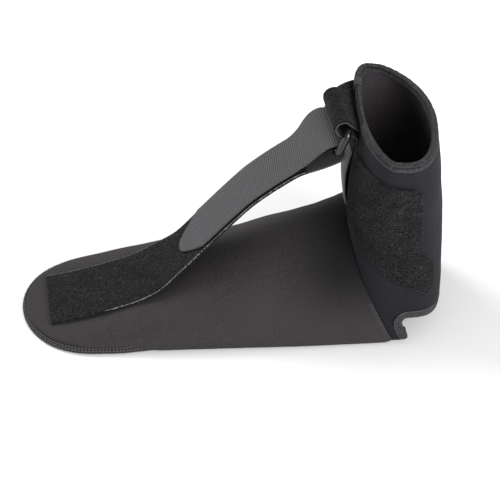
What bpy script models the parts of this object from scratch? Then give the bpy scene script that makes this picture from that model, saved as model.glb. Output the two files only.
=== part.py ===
"""Soft night splint for the foot and ankle, standing on its sole.

A closed-toe foot sleeve with an open heel is sewn to a leg cuff. A strap sewn on
the toe rises to a ring on the front of the cuff, goes round the ring's bar and
comes back down on itself. Metres, +Z up, toe towards -X, sole on Z = 0.
"""

import math

import bpy
import bmesh
from mathutils import Matrix, Vector

# Foot sleeve
TOE_REACH = 0.1445  # toe tip in front of the origin
FOOT_LENGTH = 0.2215  # toe tip to the crease at the instep
FOOT_WIDTH = 0.107
INSTEP_HEIGHT = 0.088
TOE_ROUND = 0.045  # length of the half-oval toe end
NOSE_ROUND = 0.020  # length over which the toe's top comes down to the seam
ANKLE_BLEND_LENGTH = 0.110  # length over which the sleeve turns into the ankle seam
WALL = 0.0035
SOLE_THICKNESS = 0.0040
SOLE_LIP = 0.0015  # how far the sole shows past the upper panel at the toe

# Heel opening
SEAM_END_ANGLE = math.radians(84)  # where the ankle seam reaches the sole
HEEL_EDGE_ANGLE = math.radians(92.5)  # front edge of the heel opening, at its top
HEEL_FLAP_ANGLE = math.radians(99.5)  # and on the sole
HEEL_OPENING_HEIGHT = 0.0195  # at its front edge
HEEL_EDGE_FALL = 0.0055  # how much lower the opening's upper edge is at the back
HEEL_EDGE_BLEND = math.radians(50)
HEEL_SCOOP = 0.024  # how far the opening cuts forward into the sole
HEEL_CORNER = 0.010  # width of the two sole corners beside the scoop
HEEL_FLARE = 1.4  # how high the flap starts to reach back; 1 is at the opening's top

# Leg cuff
CUFF_DEPTH = 0.066
CUFF_WIDTH = 0.104
CUFF_FRONT_HEIGHT = 0.1650
CUFF_BACK_HEIGHT = 0.1520
CUFF_SIDE_RISE = 0.00175  # the far side's top is this much over the middle
CUFF_SQUARENESS = 2.4  # up to the top of the ankle seam
CUFF_DIP = 1.2  # how soon the top edge falls behind the front; 1 is an even fall
FRONT_PANEL_NEAR = math.radians(-16)
FRONT_PANEL_FAR = math.radians(24)
FRONT_PANEL_WALL = 0.0025
FRONT_PANEL_INSET = 0.0010

# Edge binding of the cuff's top
BINDING_WIDTH = 0.0040
FRONT_BINDING_WIDTH = 0.0035
BINDING_THICKNESS = 0.0010
BINDING_CROWN = 0.85  # rise of the folded edge over its half width

# Loop patch on the cuff's near side
PATCH_THICKNESS = 0.0018
PATCH_TOP_DROP = 0.020  # patch's top edge below the cuff's top edge
PATCH_START = math.radians(-19)
PATCH_CORNER = 0.10  # share of the patch's length that its rear corners round off
PATCH_CORNER_CUT = 0.004
PATCH_END = math.radians(-112)
PATCH_LOBE_ANGLE = math.radians(-16)  # its foot reaches this much further back
PATCH_LOBE_START = 0.64  # share of the patch's top height where the lobe starts
PATCH_LOBE_BLEND = 0.20  # and over which it grows

# Toe strap
STRAP_WIDTH = 0.050
STRAP_FREE_WIDTH = 0.042
STRAP_THICKNESS = 0.0022
STRAP_START = 0.0165  # toe tip to the sewn end of the strap
STRAP_LIFT = 0.0705  # toe tip to where the strap leaves the sleeve
STRAP_FLATTEN = 0.040  # length over which the freed strap loses the toe's crown
STRAP_END_SHARE = 0.86  # of the rise from the lift point to the ring

# Hook tape, which carries on the strap round the ring and back
TAPE_WIDTH = 0.038
TAPE_THICKNESS = 0.0015
TAPE_START_SHARE = 0.72
TAPE_TIP_SHARE = 0.276
TAPE_SPLAY_SHARE = 0.80  # from here up the returning tape stands off the strap
TAPE_POINT = 0.022  # length of the pointed end
TAPE_POINT_WIDTH = 0.008
FOLD_RADIUS = 0.0075
FOLD_SLACK = 0.0022  # fold's middle in front of the ring's bar
FOLD_YAW = math.radians(9)  # the fold's near end swings towards the heel
FOLD_ROLL = math.radians(6)  # and dips

# Ring
RING_INSIDE_WIDTH = 0.040
RING_INSIDE_DEPTH = 0.0145
RING_BAR = 0.0045
RING_CORNER = 0.004  # radius of the bar's middle line at the corners
RING_STANDOFF = 0.0091  # lower bar in front of the cuff's crease
RING_BELOW_TOP = 0.0202  # lower bar below the cuff's front edge
RING_LEAN = math.radians(66)  # from the level, seen from the side
RING_YAW = math.radians(6)
RING_ROLL = math.radians(2)

# Ring tab and the tape under it on the front of the cuff
TAB_WIDTH = 0.0365
TAB_SHIFT = -0.0015  # the curl sits towards the near side
TAB_ROOT_WIDTH = 0.055
TAB_THICKNESS = 0.0020
TAB_CURL_RADIUS = 0.0068
TAB_ROOT_SHIFT = 0.0125  # the sewn end sits towards the far side
TAB_TOP_DROP = 0.0020  # sewn end below the front panel's binding
TAB_LOW_ROOT = 0.022  # sewn end of the lower layer, below the curl's middle
FRONT_TAPE_WIDTH = 0.034
FRONT_TAPE_THICKNESS = 0.0015
FRONT_TAPE_BOW = 0.0020
FRONT_TAPE_TOP_DROP = 0.0054  # its upper end below the ring tab's sewn end
FRONT_TAPE_START = 0.0030  # above the instep crease

# Clearances
GAP = 0.0003
SEAM_GAP = 0.0004
BINDING_GAP = 0.0004
LAY_GAP = 0.0004  # between a flat piece and the curved one that it lies on
PATCH_GAP = 0.0008  # and between the loop patch and the cuff

# Mesh density
CUFF_STEP = math.radians(7.5)
CUFF_ROWS = 12
BAND_ROWS = 5
SLEEVE_COLUMNS = 28
TOE_ROWS = 9
SLEEVE_ROWS = 17

# Sections of the foot sleeve from the toe tip to the instep crease. Along and
# height are shares of FOOT_LENGTH and INSTEP_HEIGHT, width of half FOOT_WIDTH;
# crown is the arch's exponent, 2 for an ellipse and more for a boxier arch.
SLEEVE_SECTIONS = (
    # along, width, height, crown
    (0.000, 0.885, 0.090, 3.20),
    (0.080, 0.885, 0.102, 3.20),
    (0.156, 0.885, 0.136, 3.10),
    (0.237, 0.905, 0.188, 3.00),
    (0.314, 0.925, 0.250, 2.90),
    (0.372, 0.937, 0.295, 2.80),
    (0.472, 0.955, 0.405, 2.40),
    (0.670, 0.985, 0.614, 1.90),
    (0.783, 1.000, 0.745, 1.80),
    (0.865, 1.000, 0.830, 1.70),
    (0.923, 1.000, 0.886, 1.65),
    (0.977, 1.000, 0.955, 1.65),
    (1.000, 1.000, 1.000, 1.65),
)

# Level sections of the cuff. Height is a share of CUFF_FRONT_HEIGHT; front and
# back are shares of CUFF_DEPTH behind the crease, and so is middle, where the
# outline is widest; width is of half CUFF_WIDTH; the last four are the outline's
# squareness over CUFF_SQUARENESS in each quarter.
CUFF_SECTIONS = (
    # height, front, middle, back, width, near_front, far_front, near_back, far_back
    (0.000, 0.010, 0.480, 0.950, 1.110, 1.00, 1.00, 1.00, 1.00),
    (0.060, 0.000, 0.488, 0.985, 1.030, 1.00, 1.00, 1.02, 1.02),
    (0.122, 0.000, 0.493, 1.005, 0.985, 1.00, 1.00, 1.20, 1.20),
    (0.300, -0.010, 0.505, 1.020, 0.980, 1.00, 1.00, 1.08, 1.08),
    (0.520, 0.000, 0.510, 1.020, 0.990, 1.00, 1.00, 1.00, 1.00),
    (0.620, 0.010, 0.510, 1.015, 0.998, 1.00, 1.00, 1.00, 0.98),
    (0.780, 0.045, 0.500, 1.005, 1.010, 0.92, 1.08, 1.00, 0.88),
    (1.000, 0.135, 0.440, 0.932, 1.030, 0.79, 1.25, 1.04, 0.72),
)

# Lower edge of the loop patch, from its front end to its back end, as shares
# of CUFF_FRONT_HEIGHT.
PATCH_LOWER_EDGE = (
    # along, height
    (0.00, 0.570),
    (0.25, 0.500),
    (0.45, 0.418),
    (0.62, 0.348),
    (0.80, 0.270),
    (0.92, 0.222),
    (1.00, 0.245),
)

# Underside of the free strap from the lift point to the ring: along the floor
# and up, both as shares of the whole run and rise.
STRAP_RISE = (
    # along, up
    (0.000, 0.000),
    (0.061, 0.030),
    (0.131, 0.075),
    (0.198, 0.135),
    (0.277, 0.226),
    (0.381, 0.376),
    (0.511, 0.560),
    (0.606, 0.685),
    (0.697, 0.780),
    (0.773, 0.850),
    (0.837, 0.902),
    (0.898, 0.938),
    (1.000, 1.000),
)

CROWN_TURNS = tuple(math.radians(turn) for turn in (35, 90, 145))
TOE_X = -TOE_REACH
CREASE_X = TOE_X + FOOT_LENGTH
SEAM_Z = SOLE_THICKNESS + GAP
ANKLE_CROWN = SLEEVE_SECTIONS[-1][3]


def smooth(rows, at, column):
    """Value of a table's column at a share, on a smooth curve through its rows."""
    xs = [row[0] for row in rows]
    ys = [row[column] for row in rows]
    at = min(max(at, xs[0]), xs[-1])
    i = max(k for k in range(len(xs) - 1) if xs[k] <= at)
    slopes = []
    for k in (i, i + 1):
        low, high = max(k - 1, 0), min(k + 1, len(xs) - 1)
        slopes.append((ys[high] - ys[low]) / (xs[high] - xs[low]))
    span = xs[i + 1] - xs[i]
    t = (at - xs[i]) / span
    start = (2 * t**3 - 3 * t**2 + 1) * ys[i] + (t**3 - 2 * t**2 + t) * span * slopes[0]
    end = (3 * t**2 - 2 * t**3) * ys[i + 1] + (t**3 - t**2) * span * slopes[1]
    return start + end


def ease(t):
    t = min(max(t, 0.0), 1.0)
    return t * t * (3 - 2 * t)


def power(value, exponent):
    """A signed power, for super-ellipses."""
    return math.copysign(abs(value) ** exponent, value)


def spread(low, high, count):
    return [low + (high - low) * k / (count - 1) for k in range(count)]


# Shape of the cuff


def cuff_point(angle, z, inset=0.0):
    """A point of the cuff's wall; angle 0 is its front and +90 degrees its far side."""
    share = z / CUFF_FRONT_HEIGHT
    front, middle, back = (CREASE_X + CUFF_DEPTH * smooth(CUFF_SECTIONS, share, k) for k in (1, 2, 3))
    half = CUFF_WIDTH / 2 * smooth(CUFF_SECTIONS, share, 4) - inset
    ahead = math.cos(angle) > 0
    far = math.sin(angle) > 0
    e = CUFF_SQUARENESS * smooth(CUFF_SECTIONS, share, (5 if ahead else 7) + far)
    side = min(abs(math.sin(angle)), 1.0) ** (2 / CUFF_SQUARENESS)
    reach = (middle - front if ahead else back - middle) - inset
    reach *= max(0.0, 1 - side**e) ** (1 / e)
    x = middle - reach if ahead else middle + reach
    return Vector((x, math.copysign(half * side, math.sin(angle)), z))


def cuff_top(angle):
    """Height of the cuff's top edge."""
    middle = CUFF_BACK_HEIGHT + CUFF_SIDE_RISE * math.sin(angle)
    rise = ease((1 + math.cos(angle)) / 2) ** CUFF_DIP
    return middle + (CUFF_FRONT_HEIGHT - CUFF_BACK_HEIGHT) * rise


def cuff_outward(angle, z):
    """The level direction that points out of the cuff's wall."""
    step = math.radians(1)
    along = cuff_point(angle + step, z) - cuff_point(angle - step, z)
    return Vector((-along.y, along.x, 0)).normalized()


def angle_for(gap, angle, z):
    """The turn that moves a point of the cuff sideways by a gap."""
    step = math.radians(1)
    speed = (cuff_point(angle + step, z) - cuff_point(angle - step, z)).length / (2 * step)
    return gap / speed


def side_share(angle):
    """How far out to the side a seam point lies, 0 at the front and 1 at the sole."""
    angle = min(abs(angle), SEAM_END_ANGLE)
    return (math.sin(angle) / math.sin(SEAM_END_ANGLE)) ** (2 / CUFF_SQUARENESS)


def arch(share, height, crown):
    """Height of an arched section that stands on the sole."""
    return SEAM_Z + (height - SEAM_Z) * max(0.0, 1 - share**crown) ** (1 / crown)


def seam_height(angle, inset=0.0):
    return arch(side_share(angle), INSTEP_HEIGHT - inset, ANKLE_CROWN)


def seam_point(angle, inset=0.0):
    return cuff_point(angle, seam_height(angle, inset), inset)


# Shape of the foot sleeve


def sleeve_sizes(x, inset=0.0):
    """Half width, height and crown of the foot sleeve's upright section at x."""
    along = (x - TOE_X) / FOOT_LENGTH
    half = FOOT_WIDTH / 2 * smooth(SLEEVE_SECTIONS, along, 1) - inset
    height = INSTEP_HEIGHT * smooth(SLEEVE_SECTIONS, along, 2) - inset
    from_tip = x - TOE_X - inset
    if from_tip < TOE_ROUND - inset:
        half *= math.sqrt(max(0.0, 1 - (1 - from_tip / (TOE_ROUND - inset)) ** 2))
    if from_tip < NOSE_ROUND:
        nose = math.sqrt(max(0.0, 1 - (1 - from_tip / NOSE_ROUND) ** 2))
        height = SEAM_Z + (height - SEAM_Z) * nose
    return half, height, smooth(SLEEVE_SECTIONS, along, 3)


def sleeve_point(x, angle, inset=0.0):
    """A point of the sleeve; x is where its section crosses the ridge."""
    side = side_share(angle)

    def upright(at):
        half, height, crown = sleeve_sizes(at, inset)
        return Vector((at, math.copysign(half * side, angle), arch(side, height, crown)))

    turn = ease((x - CREASE_X + ANKLE_BLEND_LENGTH) / ANKLE_BLEND_LENGTH)
    point = upright(x)
    if turn > 0:
        point += turn * (seam_point(angle, inset) - upright(CREASE_X))
    return point


def sleeve_ridge(x, y=0.0):
    """Height of the sleeve's outside over the floor at x and y, ahead of the ankle."""
    half, height, crown = sleeve_sizes(x)
    return arch(min(abs(y) / half, 1.0), height, crown)


# Building blocks


def make_object(name, mesh, material):
    obj = bpy.data.objects.new(name, mesh)
    obj.data.materials.append(material)
    parts.objects.link(obj)
    obj.parent = splint
    return obj


def finish_mesh(bm, name):
    bmesh.ops.recalc_face_normals(bm, faces=bm.faces)
    mesh = bpy.data.meshes.new(name)
    bm.to_mesh(mesh)
    bm.free()
    mesh.shade_smooth()
    mesh.set_sharp_from_angle(angle=math.radians(40))
    return mesh


def shell(name, outer, inner, faces, material):
    """A closed wall between an outer and an inner skin that share a face list."""
    bm = bmesh.new()
    out_verts = {key: bm.verts.new(point) for key, point in outer.items()}
    in_verts = {key: bm.verts.new(point) for key, point in inner.items()}
    edges = {}
    for face in faces:
        bm.faces.new([out_verts[key] for key in face])
        bm.faces.new([in_verts[key] for key in reversed(face)])
        for a, b in zip(face, face[1:] + face[:1]):
            edges[frozenset((a, b))] = edges.get(frozenset((a, b)), []) + [(a, b)]
    for used in edges.values():
        if len(used) == 1:
            a, b = used[0]
            bm.faces.new([out_verts[b], out_verts[a], in_verts[a], in_verts[b]])
    return make_object(name, finish_mesh(bm, name), material)


def grid_faces(rows, columns):
    """Quads between the points keyed (row, column)."""
    return [
        ((r, c), (r, c + 1), (r + 1, c + 1), (r + 1, c))
        for r in range(rows - 1)
        for c in range(columns - 1)
    ]


def strip(name, rows, material):
    """A flat piece from rows of (lower point, upper point) pairs."""
    lower = {(r, c): pair[0] for r, row in enumerate(rows) for c, pair in enumerate(row)}
    upper = {(r, c): pair[1] for r, row in enumerate(rows) for c, pair in enumerate(row)}
    return shell(name, upper, lower, grid_faces(len(rows), len(rows[0])), material)


def sweep(name, rings, material, closed=False):
    """A solid through like rings of points, capped at its ends unless it closes."""
    bm = bmesh.new()
    loops = [[bm.verts.new(point) for point in ring] for ring in rings]
    pairs = list(zip(loops, loops[1:]))
    if closed:
        pairs.append((loops[-1], loops[0]))
    for one, two in pairs:
        for k in range(len(one)):
            j = (k + 1) % len(one)
            bm.faces.new((one[k], one[j], two[j], two[k]))
    if not closed:
        bm.faces.new(loops[0])
        bm.faces.new(reversed(loops[-1]))
    return make_object(name, finish_mesh(bm, name), material)


def make_material(name, colour, roughness):
    material = bpy.data.materials.new(name)
    material.use_nodes = True
    shader = material.node_tree.nodes["Principled BSDF"]
    shader.inputs["Base Color"].default_value = (*colour, 1.0)
    shader.inputs["Roughness"].default_value = roughness
    shader.inputs["Metallic"].default_value = 0.0
    return material


# The pieces


def make_sole_panel(material):
    """A flat sole with an oval toe and a scoop under the heel."""
    heel_x, corner_y, _ = cuff_point(HEEL_FLAP_ANGLE, SEAM_Z)
    tip_x = TOE_X - SOLE_LIP
    near = []
    for turn in spread(0.0, math.pi / 2, 16):
        x = tip_x + TOE_ROUND * (1 - math.cos(turn))
        half = FOOT_WIDTH / 2 * smooth(SLEEVE_SECTIONS, (x - TOE_X) / FOOT_LENGTH, 1)
        near.append((x, (half + SOLE_LIP) * math.sin(turn)))
    side_x = spread(TOE_X + TOE_ROUND, CREASE_X, 14)[1:]
    for x in side_x:
        lip = SOLE_LIP * (1 - ease((x - side_x[0]) / (side_x[-1] - side_x[0])))
        near.append((sleeve_point(x, SEAM_END_ANGLE).x, sleeve_point(x, SEAM_END_ANGLE).y + lip))
    for angle in spread(SEAM_END_ANGLE, HEEL_FLAP_ANGLE, 5)[1:]:
        point = cuff_point(angle, SEAM_Z)
        near.append((point.x, point.y))
    near.append((heel_x, corner_y - HEEL_CORNER))
    half_scoop = corner_y - HEEL_CORNER
    for turn in spread(0.0, math.pi / 2, 9)[1:]:
        x = heel_x - HEEL_SCOOP * math.sin(turn)
        near.append((x, half_scoop * math.cos(turn)))
    outline = [Vector((x, -y, 0)) for x, y in near]
    outline += [Vector((x, y, 0)) for x, y in reversed(near[1:-1])]
    curve = bpy.data.curves.new("sole_panel", "CURVE")
    curve.dimensions = "2D"
    curve.fill_mode = "BOTH"
    curve.extrude = SOLE_THICKNESS / 2
    spline = curve.splines.new("POLY")
    spline.points.add(len(outline) - 1)
    for point, place in zip(spline.points, outline):
        point.co = (*place, 1.0)
    spline.use_cyclic_u = True
    sole = make_object("sole_panel", curve, material)
    sole.location.z = SOLE_THICKNESS / 2
    return sole


def make_upper_panel(material):
    """The sleeve's arched top, from the toe to the ankle seam."""
    angles = spread(-SEAM_END_ANGLE, SEAM_END_ANGLE, SLEEVE_COLUMNS + 1)

    def skin(inset):
        tip = TOE_X + inset
        start = TOE_X + TOE_ROUND
        turns = spread(math.radians(8), math.pi / 2, TOE_ROWS)
        places = [tip + (start - tip) * (1 - math.cos(turn)) for turn in turns]
        places += spread(start, CREASE_X, SLEEVE_ROWS)[1:]
        points = {}
        for r, x in enumerate(places):
            for c, angle in enumerate(angles):
                points[r, c] = sleeve_point(x, angle, inset)
                if r == len(places) - 1:
                    points[r, c] -= Vector((SEAM_GAP, 0, SEAM_GAP))
                points[r, c].z = max(points[r, c].z, SEAM_Z)
        return points

    outer = skin(0.0)
    rows = TOE_ROWS + SLEEVE_ROWS - 1
    faces = grid_faces(rows, len(angles))
    faces.append(tuple((0, c) for c in reversed(range(len(angles)))))
    return shell("upper_panel", outer, skin(WALL), faces, material)


def cuff_angles(low, high):
    count = max(3, round((high - low) / CUFF_STEP) + 1)
    return spread(low, high, count)


def main_cuff_angles():
    """Columns of the main cuff panel, from the far split round the back to the near one."""
    start = FRONT_PANEL_FAR + angle_for(SEAM_GAP, FRONT_PANEL_FAR, INSTEP_HEIGHT)
    end = 2 * math.pi + FRONT_PANEL_NEAR - angle_for(SEAM_GAP, FRONT_PANEL_NEAR, INSTEP_HEIGHT)
    stops = (start, SEAM_END_ANGLE, HEEL_EDGE_ANGLE)
    stops += (2 * math.pi - HEEL_EDGE_ANGLE, 2 * math.pi - SEAM_END_ANGLE, end)
    angles = [start]
    for low, high in zip(stops, stops[1:]):
        angles += cuff_angles(low, high)[1:]
    return angles


def flared(angle, z):
    """The strip beside the heel opening reaches further back towards the sole."""
    side = abs(turned(angle))
    if side <= SEAM_END_ANGLE:
        return angle
    share = (side - SEAM_END_ANGLE) / (HEEL_EDGE_ANGLE - SEAM_END_ANGLE)
    down = 1 - (z - SEAM_Z) / (HEEL_OPENING_HEIGHT - SEAM_Z)
    more = share * (HEEL_FLAP_ANGLE - HEEL_EDGE_ANGLE) * ease(HEEL_FLARE * down)
    return angle + math.copysign(more, turned(angle))


def turned(angle):
    """The angle between -180 and +180 degrees."""
    return (angle + math.pi) % (2 * math.pi) - math.pi


def make_cuff_main(material):
    """Sides and back of the cuff, with the heel opening cut from its lower edge."""
    angles = main_cuff_angles()
    gap = Vector((0, 0, SEAM_GAP))
    tolerance = math.radians(0.1)

    def skin(inset):
        points = {}
        for c, angle in enumerate(angles):
            beside = abs(turned(angle)) <= HEEL_EDGE_ANGLE + tolerance
            low = seam_height(turned(angle), inset)
            band = low + HEEL_OPENING_HEIGHT - SEAM_Z
            behind = abs(turned(angle)) - HEEL_EDGE_ANGLE
            band -= HEEL_EDGE_FALL * ease(behind / HEEL_EDGE_BLEND)
            if beside:
                for r, z in enumerate(spread(low, band, BAND_ROWS)[:-1]):
                    points[r, c] = cuff_point(flared(angle, z), z, inset)
                points[0, c] += gap
            for r, z in enumerate(spread(band, cuff_top(angle), CUFF_ROWS)):
                points[r + BAND_ROWS - 1, c] = cuff_point(angle, z, inset)
        return points

    outer = skin(0.0)
    faces = [
        face
        for face in grid_faces(BAND_ROWS + CUFF_ROWS - 1, len(angles))
        if all(key in outer for key in face)
    ]
    return shell("cuff_main", outer, skin(WALL), faces, material)


def front_panel_angles():
    return cuff_angles(FRONT_PANEL_NEAR, FRONT_PANEL_FAR)


def make_cuff_front(material):
    """The narrow panel that closes the front of the cuff."""
    angles = front_panel_angles()

    def skin(inset, wall_share):
        points = {}
        for c, angle in enumerate(angles):
            low = seam_height(angle, wall_share * WALL) + SEAM_GAP
            for r, z in enumerate(spread(low, cuff_top(angle), CUFF_ROWS)):
                points[r, c] = cuff_point(angle, z, inset)
        return points

    outer = skin(FRONT_PANEL_INSET, 0.0)
    inner = skin(FRONT_PANEL_INSET + FRONT_PANEL_WALL, 1.0)
    faces = grid_faces(CUFF_ROWS, len(angles))
    return shell("cuff_front", outer, inner, faces, material)


def make_binding(name, angles, inset, wall, width, material):
    """Tape folded over the cuff's top edge, half round on top and hugging both skins."""
    rings = []
    for angle in angles:
        top = cuff_top(angle)
        low = top - width
        outward = cuff_outward(angle, top)
        outer_leg = [cuff_point(angle, z, inset) for z in (low, top)]
        inner_leg = [cuff_point(angle, z, inset + wall) for z in (low, top)]
        middle = (outer_leg[1] + inner_leg[1]) / 2
        half = (outer_leg[1] - inner_leg[1]).length / 2 + BINDING_GAP + BINDING_THICKNESS
        rise = Vector((0, 0, half * BINDING_CROWN + GAP))
        far = outward * (BINDING_GAP + BINDING_THICKNESS)
        near = outward * BINDING_GAP
        ring = [outer_leg[0] + far, outer_leg[1] + far]
        ring += [middle + outward * half * math.cos(a) + rise * math.sin(a) for a in CROWN_TURNS]
        ring += [inner_leg[1] - far, inner_leg[0] - far, inner_leg[0] - near]
        lift = Vector((0, 0, BINDING_GAP))
        ring += [inner_leg[1] - near + lift, outer_leg[1] + near + lift, outer_leg[0] + near]
        rings.append(ring)
    return sweep(name, rings, material)


def make_cuff_patch(material):
    """Loop patch that lies on the cuff's near side."""
    angles = cuff_angles(PATCH_END, PATCH_START)[::-1]
    rows_up = 9
    rows = []
    for k in range(rows_up):
        row = []
        for top_angle in angles:
            along = (top_angle - PATCH_START) / (PATCH_END - PATCH_START)
            low = CUFF_FRONT_HEIGHT * smooth(PATCH_LOWER_EDGE, along, 1)
            high = cuff_top(top_angle) - PATCH_TOP_DROP
            corner = 1 - ease(min(1 - along, PATCH_CORNER) / PATCH_CORNER)
            low, high = low + corner * PATCH_CORNER_CUT, high - corner * PATCH_CORNER_CUT
            z = low + (high - low) * k / (rows_up - 1)
            lobe = ease((PATCH_LOBE_START - z / high) / PATCH_LOBE_BLEND)
            angle = top_angle + along**3 * lobe * PATCH_LOBE_ANGLE
            face = cuff_point(angle, z)
            outward = cuff_outward(angle, z)
            row.append((face + outward * PATCH_GAP, face + outward * (PATCH_GAP + PATCH_THICKNESS)))
        rows.append(row)
    return strip("cuff_loop_patch", rows, material)


# The strap, the ring and what holds them


def sideways(yaw, roll):
    """The far side's direction after a yaw and a roll."""
    return Vector((-math.sin(yaw), math.cos(yaw), math.tan(roll))).normalized()


def ring_axes():
    """The ring's own directions: along its long bars, from the lower bar up, and out."""
    along = sideways(RING_YAW, RING_ROLL)
    up = Vector((math.cos(RING_LEAN), 0, math.sin(RING_LEAN)))
    up = (up - along * up.dot(along)).normalized()
    return along, up, along.cross(up)


def lower_bar():
    return Vector((CREASE_X - RING_STANDOFF, 0, CUFF_FRONT_HEIGHT - RING_BELOW_TOP))


def upper_bar():
    return lower_bar() + ring_axes()[1] * (RING_INSIDE_DEPTH + RING_BAR)


def make_ring(material):
    """A rectangular plastic ring of round bar."""
    along, up, out = ring_axes()
    half_width = (RING_INSIDE_WIDTH + RING_BAR) / 2
    half_depth = (RING_INSIDE_DEPTH + RING_BAR) / 2
    points = []
    for quarter in range(4):
        sx, sy = ((1, 1), (-1, 1), (-1, -1), (1, -1))[quarter]
        for turn in spread(0.0, math.pi / 2, 5):
            a = turn + quarter * math.pi / 2
            x = sx * (half_width - RING_CORNER) + RING_CORNER * math.cos(a)
            y = sy * (half_depth - RING_CORNER) + RING_CORNER * math.sin(a)
            points.append((x, y, 0))
    curve = bpy.data.curves.new("ring", "CURVE")
    curve.dimensions = "3D"
    curve.bevel_depth = RING_BAR / 2
    curve.bevel_resolution = 3
    spline = curve.splines.new("POLY")
    spline.points.add(len(points) - 1)
    for point, place in zip(spline.points, points):
        point.co = (*place, 1.0)
    spline.use_cyclic_u = True
    ring = make_object("ring", curve, material)
    middle = (lower_bar() + upper_bar()) / 2
    turn = Matrix((along, up, out)).transposed().to_4x4()
    ring.matrix_local = Matrix.Translation(middle) @ turn
    return ring


def fold_centre():
    """Middle of the hook tape's fold, which the ring's lower bar lies in."""
    return lower_bar() - strap_direction(1.0) * FOLD_SLACK


def strap_ends():
    """Where the strap's underside leaves the sleeve and where it would meet the ring."""
    x = TOE_X + STRAP_LIFT
    lift = Vector((x, 0, sleeve_ridge(x) + LAY_GAP))
    return lift, lower_bar()


def strap_direction(share):
    """Unit direction of the free strap, up towards the ring."""
    step = 0.01
    lift, ring = strap_ends()
    low, high = max(share - step, 0.0), min(share + step, 1.0)
    rise = smooth(STRAP_RISE, high, 1) - smooth(STRAP_RISE, low, 1)
    return Vector(((high - low) * (ring.x - lift.x), 0, rise * (ring.z - lift.z))).normalized()


def strap_normal(share):
    along = strap_direction(share)
    return Vector((-along.z, 0, along.x))


def strap_line(share):
    """Middle of the free strap's underside."""
    lift, _ = strap_ends()
    drop = FOLD_RADIUS - TAPE_THICKNESS / 2 - GAP
    end = fold_centre() - strap_normal(1.0) * drop
    up = smooth(STRAP_RISE, share, 1)
    return Vector((lift.x + (end.x - lift.x) * share, 0, lift.z + (end.z - lift.z) * up))


def strap_sideways(share):
    """Direction across the strap, which turns with the ring towards its top."""
    turn = ease((share - 0.80) / 0.18)
    return Vector((0, 1, 0)).lerp(sideways(FOLD_YAW, FOLD_ROLL), turn).normalized()


def make_toe_strap(material):
    """The strap from its sewn end on the toe up to the hook tape."""
    across = spread(-1.0, 1.0, 9)
    rows = []
    for x in spread(TOE_X + STRAP_START, TOE_X + STRAP_LIFT, 10)[:-1]:
        step = 0.001
        slope = (sleeve_ridge(x + step) - sleeve_ridge(x - step)) / (2 * step)
        lean = Vector((-slope, 0, 1)).normalized()
        row = []
        for side in across:
            y = side * STRAP_WIDTH / 2
            low = Vector((x, y, sleeve_ridge(x, y))) + lean * LAY_GAP
            row.append((low, low + lean * STRAP_THICKNESS))
        rows.append(row)
    lift, ring = strap_ends()
    run = ring.x - lift.x
    for share in spread(0.0, STRAP_END_SHARE, 22):
        lean = strap_normal(share)
        middle = strap_line(share)
        width = STRAP_WIDTH + (STRAP_FREE_WIDTH - STRAP_WIDTH) * ease((share - 0.14) / 0.14)
        crown = 1 - ease(share * run / STRAP_FLATTEN)
        row = []
        for side in across:
            y = side * width / 2
            sag = (sleeve_ridge(lift.x, y) - sleeve_ridge(lift.x)) * crown
            low = middle + strap_sideways(share) * y + Vector((0, 0, sag))
            row.append((low, low + lean * STRAP_THICKNESS))
        rows.append(row)
    return strip("toe_strap", rows, material)


def tape_path():
    """Middle line of the hook tape as (point, normal, sideways, distance to its tip)."""
    under = -(GAP + TAPE_THICKNESS / 2)
    over = STRAP_THICKNESS + GAP + TAPE_THICKNESS / 2
    stations = []
    for share in spread(TAPE_START_SHARE, 1.0, 9):
        normal = strap_normal(share)
        stations.append((strap_line(share) + normal * under, normal, strap_sideways(share)))
    centre, along, normal = fold_centre(), strap_direction(1.0), strap_normal(1.0)
    for turn in spread(-math.pi / 2, math.pi / 2, 13)[1:]:
        out = along * math.cos(turn) + normal * math.sin(turn)
        stations.append((centre + out * FOLD_RADIUS, -out, strap_sideways(1.0)))
    stand = 2 * FOLD_RADIUS + under
    for share in spread(1.0, TAPE_TIP_SHARE, 30)[1:]:
        splay = ease((share - TAPE_SPLAY_SHARE) / (1 - TAPE_SPLAY_SHARE))
        normal = strap_normal(share)
        height = over + (stand - over) * splay
        stations.append((strap_line(share) + normal * height, -normal, strap_sideways(share)))
    lengths = [(b[0] - a[0]).length for a, b in zip(stations, stations[1:])]
    to_tip = [sum(lengths[k:]) for k in range(len(stations))]
    return [(*station, left) for station, left in zip(stations, to_tip)]


def make_hook_tape(material):
    """Hook tape: sewn under the strap's end, round the ring's bar and back to a point."""
    rows = []
    for point, normal, across, left in tape_path():
        point_share = min(left / TAPE_POINT, 1.0) ** 0.8
        width = TAPE_POINT_WIDTH + (TAPE_WIDTH - TAPE_POINT_WIDTH) * point_share
        row = []
        for side in spread(-1.0, 1.0, 5):
            middle = point + across * side * width / 2
            half = normal * TAPE_THICKNESS / 2
            row.append((middle - half, middle + half))
        rows.append(row)
    return strip("hook_tape", rows, material)


def curl_centre():
    """Middle of the ring tab's curl; the ring's upper bar lies against its lower right."""
    play = TAB_CURL_RADIUS - TAB_THICKNESS / 2 - GAP - RING_BAR / 2
    return upper_bar() + Vector((-0.72, 0, 0.69)) * play


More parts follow.
